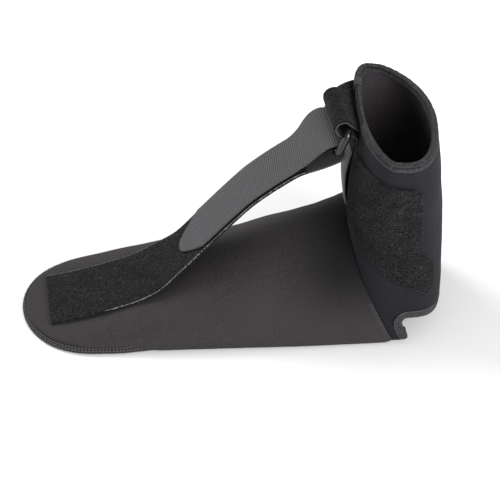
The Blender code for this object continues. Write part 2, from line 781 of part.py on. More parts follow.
def tab_path():
    """Middle line of the ring tab as (point, normal): up the cuff, round the bar and back."""
    centre = curl_centre()
    stand = LAY_GAP + TAB_THICKNESS / 2

    def on_cuff(z):
        place = cuff_point(0.0, z, FRONT_PANEL_INSET)
        return Vector((place.x - stand, 0, z)), Vector((1, 0, 0))

    low = [on_cuff(centre.z - TAB_LOW_ROOT + rise) for rise in spread(0.0, 0.009, 3)]
    round_bar = []
    for turn in spread(math.radians(-62), math.radians(-285), 13):
        out = Vector((math.cos(turn), 0, math.sin(turn)))
        round_bar.append((centre + out * TAB_CURL_RADIUS, -out))
    high = [on_cuff(cuff_top(FRONT_PANEL_NEAR) - FRONT_BINDING_WIDTH - TAB_TOP_DROP)]
    return low, round_bar, high


def make_ring_tab(material):
    """Loop-faced tab sewn to the cuff's front and folded round the ring's upper bar."""
    low, round_bar, high = tab_path()
    middle = ring_axes()[0]
    level = Vector((0, 1, 0))
    stations = [(point, normal, level, 1.0) for point, normal in low]
    bridge = low[-1][0].lerp(round_bar[0][0], 0.5)
    stations.append((bridge, (low[-1][1] + round_bar[0][1]).normalized(), level.lerp(middle, 0.5), 0.5))
    stations += [(point, normal, middle, 0.0) for point, normal in round_bar]
    stations += [(point, -normal, level, 1.0) for point, normal in high]
    rows = []
    for point, normal, across, root in stations:
        width = TAB_WIDTH + (TAB_ROOT_WIDTH - TAB_WIDTH) * root
        shift = TAB_SHIFT + (TAB_ROOT_SHIFT - TAB_SHIFT) * root
        row = []
        for side in spread(-1.0, 1.0, 5):
            place = point + across.normalized() * (side * width / 2 + shift)
            half = normal * TAB_THICKNESS / 2
            row.append((place - half, place + half))
        rows.append(row)
    return strip("ring_tab", rows, material)


def make_front_tape(material):
    """Tape sewn down the front of the cuff below the ring tab, slack in its middle."""
    low = INSTEP_HEIGHT + FRONT_TAPE_START
    top = curl_centre().z - TAB_LOW_ROOT - FRONT_TAPE_TOP_DROP
    rows = []
    for z in spread(low, top, 9):
        bow = FRONT_TAPE_BOW * math.sin(math.pi * (z - low) / (top - low))
        row = []
        for side in spread(-1.0, 1.0, 5):
            y = side * FRONT_TAPE_WIDTH / 2
            half = abs(cuff_point(math.pi / 2, z, FRONT_PANEL_INSET).y)
            angle = math.copysign(math.asin((abs(y) / half) ** (CUFF_SQUARENESS / 2)), y)
            face = cuff_point(angle, z, FRONT_PANEL_INSET)
            outward = Vector((-1, 0, 0))
            near = face + outward * (LAY_GAP + bow)
            row.append((near, near + outward * FRONT_TAPE_THICKNESS))
        rows.append(row)
    return strip("front_tape", rows, material)


def build():
    neoprene = make_material("foot_neoprene", (0.050, 0.046, 0.048), 0.85)
    cuff_cloth = make_material("cuff_neoprene", (0.032, 0.031, 0.036), 0.85)
    binding = make_material("binding_tape", (0.080, 0.076, 0.080), 0.9)
    loop = make_material("loop_pile", (0.035, 0.035, 0.035), 0.95)
    webbing = make_material("hook_tape", (0.110, 0.107, 0.112), 0.7)
    plastic = make_material("ring_plastic", (0.030, 0.030, 0.032), 0.35)

    make_sole_panel(neoprene)
    make_upper_panel(neoprene)
    make_cuff_main(cuff_cloth)
    make_cuff_front(cuff_cloth)
    make_binding("top_binding", main_cuff_angles(), 0.0, WALL, BINDING_WIDTH, binding)
    front_wall = FRONT_PANEL_WALL
    front_angles = front_panel_angles()
    width = FRONT_BINDING_WIDTH
    make_binding("front_binding", front_angles, FRONT_PANEL_INSET, front_wall, width, binding)
    make_cuff_patch(loop)
    make_toe_strap(loop)
    make_hook_tape(webbing)
    make_ring(plastic)
    make_ring_tab(loop)
    make_front_tape(webbing)


for old in list(bpy.data.objects):
    bpy.data.objects.remove(old)
parts = bpy.data.collections.new("night_splint")
bpy.context.scene.collection.children.link(parts)
splint = bpy.data.objects.new("splint", None)
parts.objects.link(splint)
build()
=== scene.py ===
"""Looks of a soft night splint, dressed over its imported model.

Each operator makes one piece, or a group of like pieces, where the model has it.
Metres, +Z up, toe towards -X, near side towards -Y.
"""

import functools
import math

import bpy
import numpy as np
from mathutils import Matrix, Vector, noise


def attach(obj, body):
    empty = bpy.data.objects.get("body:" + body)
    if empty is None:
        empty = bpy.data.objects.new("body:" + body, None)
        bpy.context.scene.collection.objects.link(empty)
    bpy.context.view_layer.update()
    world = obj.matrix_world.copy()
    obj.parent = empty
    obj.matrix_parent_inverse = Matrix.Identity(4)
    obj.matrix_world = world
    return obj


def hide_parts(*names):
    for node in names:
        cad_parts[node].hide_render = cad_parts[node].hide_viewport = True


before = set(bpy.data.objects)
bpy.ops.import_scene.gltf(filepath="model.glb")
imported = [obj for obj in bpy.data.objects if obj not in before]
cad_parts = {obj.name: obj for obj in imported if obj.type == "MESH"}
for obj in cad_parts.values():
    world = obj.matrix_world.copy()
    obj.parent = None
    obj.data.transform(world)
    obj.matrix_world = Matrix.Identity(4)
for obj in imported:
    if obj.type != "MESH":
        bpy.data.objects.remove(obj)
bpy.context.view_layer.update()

bl_info = {
    "name": "Night splint",
    "version": (1, 0, 0),
    "blender": (4, 5, 0),
    "location": "3D View > Sidebar > Splint",
    "description": "Cloth, pile, tapes and stitches of a soft night splint",
    "category": "Add Mesh",
}

# Sizes of the model, which this file has to repeat
TOE_X = -0.1445
FOOT_LENGTH = 0.2215
FOOT_WIDTH = 0.107
INSTEP_HEIGHT = 0.088
TOE_ROUND = 0.045
NOSE_ROUND = 0.020
ANKLE_TURN = 0.110
WALL = 0.0035
SOLE_THICKNESS = 0.0040
SOLE_LIP = 0.0015
SEAM_END_ANGLE = math.radians(84)
HEEL_FLAP_ANGLE = math.radians(99.5)
HEEL_SCOOP = 0.024
HEEL_CORNER = 0.010
CUFF_DEPTH = 0.066
CUFF_WIDTH = 0.104
CUFF_FRONT_HEIGHT = 0.1650
CUFF_BACK_HEIGHT = 0.1520
CUFF_SIDE_RISE = 0.00175
CUFF_SQUARENESS = 2.4
CUFF_DIP = 1.2
FRONT_PANEL_NEAR = math.radians(-16)
FRONT_PANEL_FAR = math.radians(24)
FRONT_PANEL_WALL = 0.0025
FRONT_PANEL_INSET = 0.0010
BINDING_WIDTH = 0.0040
FRONT_BINDING_WIDTH = 0.0035
PATCH_THICKNESS = 0.0018
PATCH_TOP_DROP = 0.020
PATCH_START = math.radians(-19)
PATCH_CORNER = 0.10
PATCH_CORNER_CUT = 0.004
PATCH_END = math.radians(-112)
PATCH_LOBE_ANGLE = math.radians(-16)
PATCH_LOBE_START = 0.64
PATCH_LOBE_BLEND = 0.20
STRAP_WIDTH = 0.050
STRAP_FREE_WIDTH = 0.042
STRAP_THICKNESS = 0.0022
STRAP_START = 0.0165
STRAP_LIFT = 0.0705
STRAP_FLATTEN = 0.040
STRAP_END_SHARE = 0.86
TAPE_WIDTH = 0.038
TAPE_THICKNESS = 0.0015
TAPE_START_SHARE = 0.72
TAPE_TIP_SHARE = 0.276
TAPE_SPLAY_SHARE = 0.80
TAPE_POINT = 0.022
TAPE_POINT_WIDTH = 0.0040
FOLD_RADIUS = 0.0075
FOLD_SLACK = 0.0022
FOLD_YAW = math.radians(9)
FOLD_ROLL = math.radians(6)
RING_INSIDE_WIDTH = 0.040
RING_INSIDE_DEPTH = 0.0145
RING_BAR = 0.0045
RING_CORNER = 0.004
RING_STANDOFF = 0.0091
RING_BELOW_TOP = 0.0202
RING_HEIGHT = CUFF_FRONT_HEIGHT - RING_BELOW_TOP
RING_LEAN = math.radians(66)
RING_YAW = math.radians(6)
RING_ROLL = math.radians(2)
TAB_WIDTH = 0.0365
TAB_SHIFT = -0.0015
TAB_ROOT_WIDTH = 0.055
TAB_THICKNESS = 0.0020
TAB_CURL_RADIUS = 0.0068
TAB_ROOT_SHIFT = 0.0125
TAB_TOP_DROP = 0.0020
TAB_LOW_ROOT = 0.022
FRONT_TAPE_WIDTH = 0.034
FRONT_TAPE_THICKNESS = 0.0015
FRONT_TAPE_BOW = 0.0020
FRONT_TAPE_TOP_DROP = 0.0054
FRONT_TAPE_START = 0.0030
GAP = 0.0003
LAY_GAP = 0.0004
PATCH_GAP = 0.0008

SLEEVE_SECTIONS = (
    # along, width, height, crown
    (0.000, 0.885, 0.090, 3.20),
    (0.080, 0.885, 0.102, 3.20),
    (0.156, 0.885, 0.136, 3.10),
    (0.237, 0.905, 0.188, 3.00),
    (0.314, 0.925, 0.250, 2.90),
    (0.372, 0.937, 0.295, 2.80),
    (0.472, 0.955, 0.405, 2.40),
    (0.670, 0.985, 0.614, 1.90),
    (0.783, 1.000, 0.745, 1.80),
    (0.865, 1.000, 0.830, 1.70),
    (0.923, 1.000, 0.886, 1.65),
    (0.977, 1.000, 0.955, 1.65),
    (1.000, 1.000, 1.000, 1.65),
)
CUFF_SECTIONS = (
    # height, front, middle, back, width, near_front, far_front, near_back, far_back
    (0.000, 0.010, 0.480, 0.950, 1.110, 1.00, 1.00, 1.00, 1.00),
    (0.060, 0.000, 0.488, 0.985, 1.030, 1.00, 1.00, 1.02, 1.02),
    (0.122, 0.000, 0.493, 1.005, 0.985, 1.00, 1.00, 1.20, 1.20),
    (0.300, -0.010, 0.505, 1.020, 0.980, 1.00, 1.00, 1.08, 1.08),
    (0.520, 0.000, 0.510, 1.020, 0.990, 1.00, 1.00, 1.00, 1.00),
    (0.620, 0.010, 0.510, 1.015, 0.998, 1.00, 1.00, 1.00, 0.98),
    (0.780, 0.045, 0.500, 1.005, 1.010, 0.92, 1.08, 1.00, 0.88),
    (1.000, 0.135, 0.440, 0.932, 1.030, 0.79, 1.25, 1.04, 0.72),
)
PATCH_LOWER_EDGE = (
    # along, height
    (0.00, 0.570),
    (0.25, 0.500),
    (0.45, 0.418),
    (0.62, 0.348),
    (0.80, 0.270),
    (0.92, 0.222),
    (1.00, 0.245),
)
STRAP_RISE = (
    # along, up
    (0.000, 0.000),
    (0.061, 0.030),
    (0.131, 0.075),
    (0.198, 0.135),
    (0.277, 0.226),
    (0.381, 0.376),
    (0.511, 0.560),
    (0.606, 0.685),
    (0.697, 0.780),
    (0.773, 0.850),
    (0.837, 0.902),
    (0.898, 0.938),
    (1.000, 1.000),
)
# Sizes that only the looks have
PAINTED_SHADE_FRONT = 0.016  # painted shade: the knit is darkened ahead of the ankle seam, where no dent is modelled
PAINTED_SHADE_LENGTH = 0.058
PAINTED_SHADE_LOW = 0.004
PAINTED_SHADE_RISE = 0.052
PAINTED_SHADE_DARKNESS = 0.84
BINDING_SHADE_FOLDS = (0.0083, 0.0157)  # painted shade along the binding's folds, measured round its section
BINDING_PLAY = 0.0005  # between the cuff's wall and its binding
FRONT_BINDING_PLAY = 0.0003
HEEL_BAND_WIDTH = 0.0050
HEEL_BAND_INSIDE = 0.0036
HEEL_BAND_PLAY = 0.0006
HEEL_STITCH_LINE = 0.0047  # from the opening's edge
RING_FULLNESS = 1.12
COLUMN_SCALE = 0.0009  # metres on the cuff for one degree round it

CREASE_X = TOE_X + FOOT_LENGTH
SEAM_Z = SOLE_THICKNESS + GAP
ANKLE_CROWN = SLEEVE_SECTIONS[-1][3]

# Edge of the heel opening on the cuff: degrees round from the cuff's front and
# height in metres, from the sole up and on to the back.
HEEL_EDGE = (
    (99.8, 0.0030),
    (99.3, 0.0056),
    (97.0, 0.0082),
    (94.0, 0.0112),
    (92.2, 0.0145),
    (92.6, 0.0176),
    (95.2, 0.0194),
    (101.0, 0.0191),
    (112.0, 0.0178),
    (125.0, 0.0159),
    (145.0, 0.0140),
    (162.0, 0.0140),
    (180.0, 0.0140),
)


# Shape of the model


def smooth(rows, at, column):
    """Value of a table's column at a share, on a smooth curve through its rows."""
    return _smooth(rows, round(at, 7), column)


@functools.lru_cache(maxsize=None)
def _smooth(rows, at, column):
    xs = [row[0] for row in rows]
    ys = [row[column] for row in rows]
    at = min(max(at, xs[0]), xs[-1])
    i = max(k for k in range(len(xs) - 1) if xs[k] <= at)
    slopes = []
    for k in (i, i + 1):
        low, high = max(k - 1, 0), min(k + 1, len(xs) - 1)
        slopes.append((ys[high] - ys[low]) / (xs[high] - xs[low]))
    span = xs[i + 1] - xs[i]
    t = (at - xs[i]) / span
    start = (2 * t**3 - 3 * t**2 + 1) * ys[i] + (t**3 - 2 * t**2 + t) * span * slopes[0]
    end = (3 * t**2 - 2 * t**3) * ys[i + 1] + (t**3 - t**2) * span * slopes[1]
    return start + end


def ease(t):
    t = min(max(t, 0.0), 1.0)
    return t * t * (3 - 2 * t)


def power(value, exponent):
    return math.copysign(abs(value) ** exponent, value)


def spread(low, high, count):
    return [low + (high - low) * k / (count - 1) for k in range(count)]


def cuff_point(angle, z, inset=0.0):
    """A point of the cuff's wall; angle 0 is its front and +90 degrees its far side."""
    share = z / CUFF_FRONT_HEIGHT
    front, middle, back = (CREASE_X + CUFF_DEPTH * smooth(CUFF_SECTIONS, share, k) for k in (1, 2, 3))
    half = CUFF_WIDTH / 2 * smooth(CUFF_SECTIONS, share, 4) - inset
    ahead = math.cos(angle) > 0
    far = math.sin(angle) > 0
    e = CUFF_SQUARENESS * smooth(CUFF_SECTIONS, share, (5 if ahead else 7) + far)
    side = min(abs(math.sin(angle)), 1.0) ** (2 / CUFF_SQUARENESS)
    reach = (middle - front if ahead else back - middle) - inset
    reach *= max(0.0, 1 - side**e) ** (1 / e)
    x = middle - reach if ahead else middle + reach
    return Vector((x, math.copysign(half * side, math.sin(angle)), z))


def cuff_top(angle):
    middle = CUFF_BACK_HEIGHT + CUFF_SIDE_RISE * math.sin(angle)
    rise = ease((1 + math.cos(angle)) / 2) ** CUFF_DIP
    return middle + (CUFF_FRONT_HEIGHT - CUFF_BACK_HEIGHT) * rise


def cuff_outward(angle, z):
    step = math.radians(1)
    along = cuff_point(angle + step, z) - cuff_point(angle - step, z)
    return Vector((-along.y, along.x, 0)).normalized()


def turned(angle):
    """The angle between -180 and +180 degrees."""
    return (angle + math.pi) % (2 * math.pi) - math.pi


def side_share(angle):
    angle = min(abs(angle), SEAM_END_ANGLE)
    return (math.sin(angle) / math.sin(SEAM_END_ANGLE)) ** (2 / CUFF_SQUARENESS)


def arch(share, height, crown):
    return SEAM_Z + (height - SEAM_Z) * max(0.0, 1 - share**crown) ** (1 / crown)


def seam_height(angle, inset=0.0):
    return arch(side_share(angle), INSTEP_HEIGHT - inset, ANKLE_CROWN)


def seam_point(angle, inset=0.0):
    return cuff_point(angle, seam_height(angle, inset), inset)


def sleeve_sizes(x, inset=0.0):
    """Half width, height and crown of the foot sleeve's upright section at x."""
    along = (x - TOE_X) / FOOT_LENGTH
    half = FOOT_WIDTH / 2 * smooth(SLEEVE_SECTIONS, along, 1) - inset
    height = INSTEP_HEIGHT * smooth(SLEEVE_SECTIONS, along, 2) - inset
    from_tip = x - TOE_X - inset
    if from_tip < TOE_ROUND - inset:
        half *= math.sqrt(max(0.0, 1 - (1 - from_tip / (TOE_ROUND - inset)) ** 2))
    if from_tip < NOSE_ROUND:
        nose = math.sqrt(max(0.0, 1 - (1 - from_tip / NOSE_ROUND) ** 2))
        height = SEAM_Z + (height - SEAM_Z) * nose
    return half, height, smooth(SLEEVE_SECTIONS, along, 3)


def sleeve_point(x, angle, inset=0.0):
    """A point of the sleeve; x is where its section crosses the ridge."""
    side = side_share(angle)

    def upright(at):
        half, height, crown = sleeve_sizes(at, inset)
        return Vector((at, math.copysign(half * side, angle), arch(side, height, crown)))

    turn = ease((x - CREASE_X + ANKLE_TURN) / ANKLE_TURN)
    point = upright(x)
    if turn > 0:
        point += turn * (seam_point(angle, inset) - upright(CREASE_X))
    return point


def sleeve_ridge(x, y=0.0):
    half, height, crown = sleeve_sizes(x)
    return arch(min(abs(y) / half, 1.0), height, crown)


def sideways(yaw, roll):
    return Vector((-math.sin(yaw), math.cos(yaw), math.tan(roll))).normalized()


def ring_axes():
    """The ring's own directions: along its long bars, from the lower bar up, and out."""
    along = sideways(RING_YAW, RING_ROLL)
    up = Vector((math.cos(RING_LEAN), 0, math.sin(RING_LEAN)))
    up = (up - along * up.dot(along)).normalized()
    return along, up, along.cross(up)


def lower_bar():
    return Vector((CREASE_X - RING_STANDOFF, 0, RING_HEIGHT))


def upper_bar():
    return lower_bar() + ring_axes()[1] * (RING_INSIDE_DEPTH + RING_BAR)


def strap_ends():
    x = TOE_X + STRAP_LIFT
    return Vector((x, 0, sleeve_ridge(x) + LAY_GAP)), lower_bar()


def strap_direction(share):
    step = 0.01
    lift, ring = strap_ends()
    low, high = max(share - step, 0.0), min(share + step, 1.0)
    rise = smooth(STRAP_RISE, high, 1) - smooth(STRAP_RISE, low, 1)
    return Vector(((high - low) * (ring.x - lift.x), 0, rise * (ring.z - lift.z))).normalized()


def strap_normal(share):
    along = strap_direction(share)
    return Vector((-along.z, 0, along.x))


def fold_centre():
    return lower_bar() - strap_direction(1.0) * FOLD_SLACK


def strap_line(share):
    """Middle of the free strap's underside."""
    lift, _ = strap_ends()
    drop = FOLD_RADIUS - TAPE_THICKNESS / 2 - GAP
    end = fold_centre() - strap_normal(1.0) * drop
    up = smooth(STRAP_RISE, share, 1)
    return Vector((lift.x + (end.x - lift.x) * share, 0, lift.z + (end.z - lift.z) * up))


def strap_sideways(share):
    turn = ease((share - 0.80) / 0.18)
    return Vector((0, 1, 0)).lerp(sideways(FOLD_YAW, FOLD_ROLL), turn).normalized()


def tape_path():
    """Middle line of the hook tape as (point, normal, sideways, distance to its tip)."""
    under = -(GAP + TAPE_THICKNESS / 2)
    over = STRAP_THICKNESS + GAP + TAPE_THICKNESS / 2
    stations = []
    for share in spread(TAPE_START_SHARE, 1.0, 30):
        normal = strap_normal(share)
        stations.append((strap_line(share) + normal * under, normal, strap_sideways(share)))
    centre, along, normal = fold_centre(), strap_direction(1.0), strap_normal(1.0)
    for turn in spread(-math.pi / 2, math.pi / 2, 25)[1:]:
        out = along * math.cos(turn) + normal * math.sin(turn)
        stations.append((centre + out * FOLD_RADIUS, -out, strap_sideways(1.0)))
    stand = 2 * FOLD_RADIUS + under
    for share in spread(1.0, TAPE_TIP_SHARE, 110)[1:]:
        splay = ease((share - TAPE_SPLAY_SHARE) / (1 - TAPE_SPLAY_SHARE))
        normal = strap_normal(share)
        height = over + (stand - over) * splay
        stations.append((strap_line(share) + normal * height, -normal, strap_sideways(share)))
    lengths = [(b[0] - a[0]).length for a, b in zip(stations, stations[1:])]
    to_tip = np.concatenate([np.cumsum(lengths[::-1])[::-1], [0.0]])
    return [(*station, float(left)) for station, left in zip(stations, to_tip)]


def curl_centre():
    play = TAB_CURL_RADIUS - TAB_THICKNESS / 2 - GAP - RING_BAR / 2
    return upper_bar() + Vector((-0.72, 0, 0.69)) * play


# Mesh building


def unit(vectors):
    size = np.linalg.norm(vectors, axis=-1, keepdims=True)
    return vectors / np.maximum(size, 1e-12)


def grid(points):
    """An array of rows of points."""
    return np.array([[tuple(point) for point in row] for row in points])


def grid_normals(outer, inner):
    """Unit normals of a grid of points, on the side away from its inner skin."""
    normal = np.cross(np.gradient(outer, axis=0), np.gradient(outer, axis=1))
    away = outer - inner
    flip = np.sign(np.sum(normal * away, axis=-1, keepdims=True))
    flip[flip == 0] = 1
    return unit(normal * flip)


def grid_quads(rows, columns, keep=None):
    r, c = np.meshgrid(np.arange(rows - 1), np.arange(columns - 1), indexing="ij")
    r, c = r.ravel(), c.ravel()
    if keep is not None:
        wanted = keep[r, c]
        r, c = r[wanted], c[wanted]
    at = r * columns + c
    return np.stack([at, at + 1, at + columns + 1, at + columns], axis=1)


def cloth_lengths(points):
    """Distances over a grid, across from its middle column and along from its first row."""
    across = np.linalg.norm(np.diff(points, axis=1), axis=-1)
    across = np.concatenate([np.zeros((len(points), 1)), np.cumsum(across, axis=1)], axis=1)
    across -= across[:, points.shape[1] // 2][:, None]
    along = np.linalg.norm(np.diff(points, axis=0), axis=-1).mean(axis=1)
    along = np.concatenate([[0.0], np.cumsum(along)])
    return np.stack([across, np.broadcast_to(along[:, None], across.shape)], axis=-1)


def new_piece(name, verts, faces, finish, uvs=None, facts=None):
    """A mesh object from plain lists, turned so that its faces point out."""
    verts = np.asarray(verts, float)
    mesh = bpy.data.meshes.new(name)
    mesh.from_pydata(verts.tolist(), [], [list(map(int, face)) for face in faces])
    mesh.update()
    mesh.calc_loop_triangles()
    corners = np.zeros(len(mesh.loop_triangles) * 3, int)
    mesh.loop_triangles.foreach_get("vertices", corners)
    a, b, c = verts[corners.reshape(-1, 3)].transpose(1, 0, 2)
    if np.sum(a * np.cross(b, c)) < 0:
        mesh.flip_normals()
    if uvs is not None:
        where = np.zeros(len(mesh.loops), int)
        mesh.loops.foreach_get("vertex_index", where)
        layer = mesh.uv_layers.new(name="cloth")
        layer.data.foreach_set("uv", np.asarray(uvs, float)[where].ravel())
    for fact, values in (facts or {}).items():
        attribute = mesh.attributes.new(fact, "FLOAT", "POINT")
        attribute.data.foreach_set("value", np.asarray(values, float))
    mesh.shade_smooth()
    mesh.materials.append(finish)
    piece = bpy.data.objects.new(name, mesh)
    bpy.context.scene.collection.objects.link(piece)
    return piece


def shell(name, outer, inner, finish, keep=None, facts=None, rim=4, bulge=1.0, lengths=None):
    """A closed wall between two grids of points, with a rounded rim along its edges."""
    rows, columns = outer.shape[:2]
    if lengths is None:
        lengths = cloth_lengths(outer)
    out, back = outer.reshape(-1, 3), inner.reshape(-1, 3)
    quads = grid_quads(rows, columns, keep)
    face_normal = np.cross(out[quads[:, 2]] - out[quads[:, 0]], out[quads[:, 3]] - out[quads[:, 1]])
    if np.sum(face_normal * (out - back)[quads[:, 0]]) < 0:
        quads = quads[:, ::-1]
    used, quads = np.unique(quads, return_inverse=True)
    quads = quads.reshape(-1, 4)
    out, back = out[used], back[used]
    lengths = lengths.reshape(-1, 2)[used]
    count = len(used)
    edges = np.concatenate([quads[:, [k, (k + 1) % 4]] for k in range(4)])
    keys = edges[:, 0] * count + edges[:, 1]
    border = edges[~np.isin(keys, edges[:, 1] * count + edges[:, 0])]
    after = dict(border.tolist())
    before = {b: a for a, b in after.items()}
    ring = np.array(list(after))
    tangent = out[[after[k] for k in ring]] - out[[before[k] for k in ring]]
    away = unit(out[ring] - back[ring])
    side = unit(np.cross(tangent, away))
    middle = (out[ring] + back[ring]) / 2
    half = np.linalg.norm(out[ring] - back[ring], axis=1, keepdims=True) / 2
    verts, uvs = [out, back], [lengths, lengths]
    for k in range(1, rim):
        turn = math.pi * k / rim
        verts.append(middle + (out[ring] - middle) * math.cos(turn) + side * half * bulge * math.sin(turn))
        uvs.append(lengths[ring])
    place = {int(vert): k for k, vert in enumerate(ring)}
    levels = [lambda v: v]
    levels += [lambda v, k=k: 2 * count + (k - 1) * len(ring) + place[v] for k in range(1, rim)]
    levels.append(lambda v: count + v)
    faces = quads.tolist() + (quads[:, ::-1] + count).tolist()
    for a, b in after.items():
        for one, two in zip(levels, levels[1:]):
            faces.append((one(b), one(a), two(a), two(b)))
    all_facts = {"inside": [np.zeros(count), np.ones(count)]}
    for k in range(1, rim):
        all_facts["inside"].append(np.full(len(ring), k / rim))
    for fact, values in (facts or {}).items():
        values = np.asarray(values, float).reshape(-1)[used]
        all_facts[fact] = [values, np.zeros(count)]
        for k in range(1, rim):
            all_facts[fact].append(values[ring] * (1 - k / rim))
    all_facts = {fact: np.concatenate(parts) for fact, parts in all_facts.items()}
    return new_piece(name, np.concatenate(verts), faces, finish, np.concatenate(uvs), all_facts)


def sweep(name, rings, finish, closed=False, facts=None):
    """A solid through like rings of points, capped at its ends unless it closes."""
    rings = np.asarray(rings, float)
    count, around = rings.shape[:2]
    verts = rings.reshape(-1, 3)
    faces = []
    for k in range(count if closed else count - 1):
        a, b = k * around, (k + 1) % count * around
        for j in range(around):
            n = (j + 1) % around
            faces.append((a + j, a + n, b + n, b + j))
    uvs = np.zeros((count, around, 2))
    steps = np.linalg.norm(np.diff(rings.mean(axis=1), axis=0), axis=1)
    uvs[..., 1] = np.concatenate([[0], np.cumsum(steps)])[:, None]
    loops = np.linalg.norm(rings - np.roll(rings, 1, axis=1), axis=2)
    uvs[..., 0] = np.cumsum(loops, axis=1)
    uvs = uvs.reshape(-1, 2)
    if not closed:
        faces += [tuple(range(around))[::-1], tuple((count - 1) * around + j for j in range(around))]
    return new_piece(name, verts, faces, finish, uvs, facts)


def tufts(rows, columns, seed):
    """Random heights from -1 to 1 over a grid, cut from a draw with a margin of two cells."""
    heights = np.random.RandomState(seed).uniform(-1, 1, (rows + 4, columns + 4))
    heights = heights[2:-2, 2:-2]
    return np.clip(heights / (2.2 * heights.std()), -1, 1)


def hills(points, size, seed):
    """Slow noise at each point of a grid, for soft dents and folds."""
    shift = Vector((seed * 7.1, seed * 3.7, seed * 5.3))
    flat = points.reshape(-1, 3)
    values = [noise.noise(Vector(point) / size + shift) for point in flat]
    return np.array(values).reshape(points.shape[:2])


def edge_fade(rows, columns, margin_rows, margin_columns):
    """1 inside a grid, falling to 0 at its edges over the given numbers of cells."""
    r = np.minimum(np.arange(rows), np.arange(rows)[::-1]) / max(margin_rows, 1e-6)
    c = np.minimum(np.arange(columns), np.arange(columns)[::-1]) / max(margin_columns, 1e-6)
    fade = np.minimum(np.clip(r, 0, 1)[:, None], np.clip(c, 0, 1)[None, :])
    return fade * fade * (3 - 2 * fade)


def finish_piece(piece, replaced=()):
    """Hangs a piece on the root body and hides the model's parts that it replaces."""
    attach(piece, "root")
    if replaced:
        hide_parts(*replaced)
    return piece


# Finishes


class Wire:
    """A socket's value, so that shader maths reads as plain expressions."""

    def __init__(self, recipe, socket):
        self.recipe = recipe
        self.socket = socket

    def _math(self, operation, one, two):
        return self.recipe.add("ShaderNodeMath", {"operation": operation}, {0: one, 1: two})

    def __add__(self, other):
        return self._math("ADD", self, other)

    def __radd__(self, other):
        return self._math("ADD", other, self)

    def __sub__(self, other):
        return self._math("SUBTRACT", self, other)

    def __rsub__(self, other):
        return self._math("SUBTRACT", other, self)

    def __mul__(self, other):
        return self._math("MULTIPLY", self, other)

    def __rmul__(self, other):
        return self._math("MULTIPLY", other, self)

    def __truediv__(self, other):
        return self._math("DIVIDE", self, other)

    def __pow__(self, other):
        return self._math("POWER", self, other)

    def __abs__(self):
        return self.recipe.add("ShaderNodeMath", {"operation": "ABSOLUTE"}, {0: self})


class Recipe:
    """The nodes of one tree, made one by one."""

    def __init__(self, tree):
        self.tree = tree

    def add(self, kind, settings=None, inputs=None, out=0):
        """A node of a type; its settings come first, then its sockets' values or links."""
        node = self.tree.nodes.new(kind)
        for key, value in (settings or {}).items():
            setattr(node, key, value)
        for key, value in (inputs or {}).items():
            self.fill(self.find(node.inputs, key), value)
        return Wire(self, self.find(node.outputs, out))

    @staticmethod
    def find(sockets, key):
        if isinstance(key, int):
            return sockets[key]
        for socket in sockets:
            if socket.identifier == key:
                return socket
        return next(socket for socket in sockets if socket.name == key and socket.enabled)

    def fill(self, socket, value):
        if isinstance(value, Wire):
            self.tree.links.new(value.socket, socket)
        elif isinstance(value, bpy.types.Object):
            socket.default_value = value
        elif hasattr(value, "__len__") and not isinstance(value, str):
            size = len(socket.default_value)
            socket.default_value = tuple(value)[:size] + (1.0,) * (size - len(value))
        else:
            socket.default_value = value

    def mix(self, factor, one, two):
        settings = {"data_type": "RGBA", "blend_type": "MIX"}
        sockets = {"Factor_Float": factor, "A_Color": one, "B_Color": two}
        return self.add("ShaderNodeMix", settings, sockets, "Result_Color")

    def grain(self, coordinates, size, detail=2.0, rough=0.5):
        """Noise from 0 to 1 whose features are about a size across."""
        settings = {"noise_dimensions": "3D"}
        sockets = {"Vector": coordinates, "Scale": 1.0 / size, "Detail": detail, "Roughness": rough}
        return self.add("ShaderNodeTexNoise", settings, sockets)

    def contrast(self, value, low, high, to_low=0.0, to_high=1.0):
        sockets = {"Value": value, "From Min": low, "From Max": high, "To Min": to_low, "To Max": to_high}
        return self.add("ShaderNodeMapRange", {"clamp": True}, sockets)

    def sine(self, value):
        return self.add("ShaderNodeMath", {"operation": "SINE"}, {0: value})

    def bump(self, height, distance, strength=1.0, normal=None):
        sockets = {"Height": height, "Distance": distance, "Strength": strength}
        if normal is not None:
            sockets["Normal"] = normal
        return self.add("ShaderNodeBump", None, sockets)

    def attribute(self, name):
        return self.add("ShaderNodeAttribute", {"attribute_name": name}, None, "Fac")

    def cloth(self):
        """Distances in metres across and along the cloth."""
        uv = self.add("ShaderNodeUVMap", {"uv_map": "cloth"})
        across = self.add("ShaderNodeSeparateXYZ", None, {0: uv}, "X")
        along = Wire(self, across.socket.node.outputs["Y"])
        return uv, across, along

    def place(self):
        return self.add("ShaderNodeTexCoord", None, None, "Object")


def new_finish(name):
    """A material with an empty principled shader, and the recipe that fills it."""
    material = bpy.data.materials.new(name)
    material.use_nodes = True
    recipe = Recipe(material.node_tree)
    shader = material.node_tree.nodes["Principled BSDF"]
    return material, recipe, shader


def set_shader(recipe, shader, **values):
    for key, value in values.items():
        recipe.fill(shader.inputs[key.replace("_", " ")], value)


def shade(colour, factor):
    return tuple(min(1.0, part * factor) for part in colour[:3])


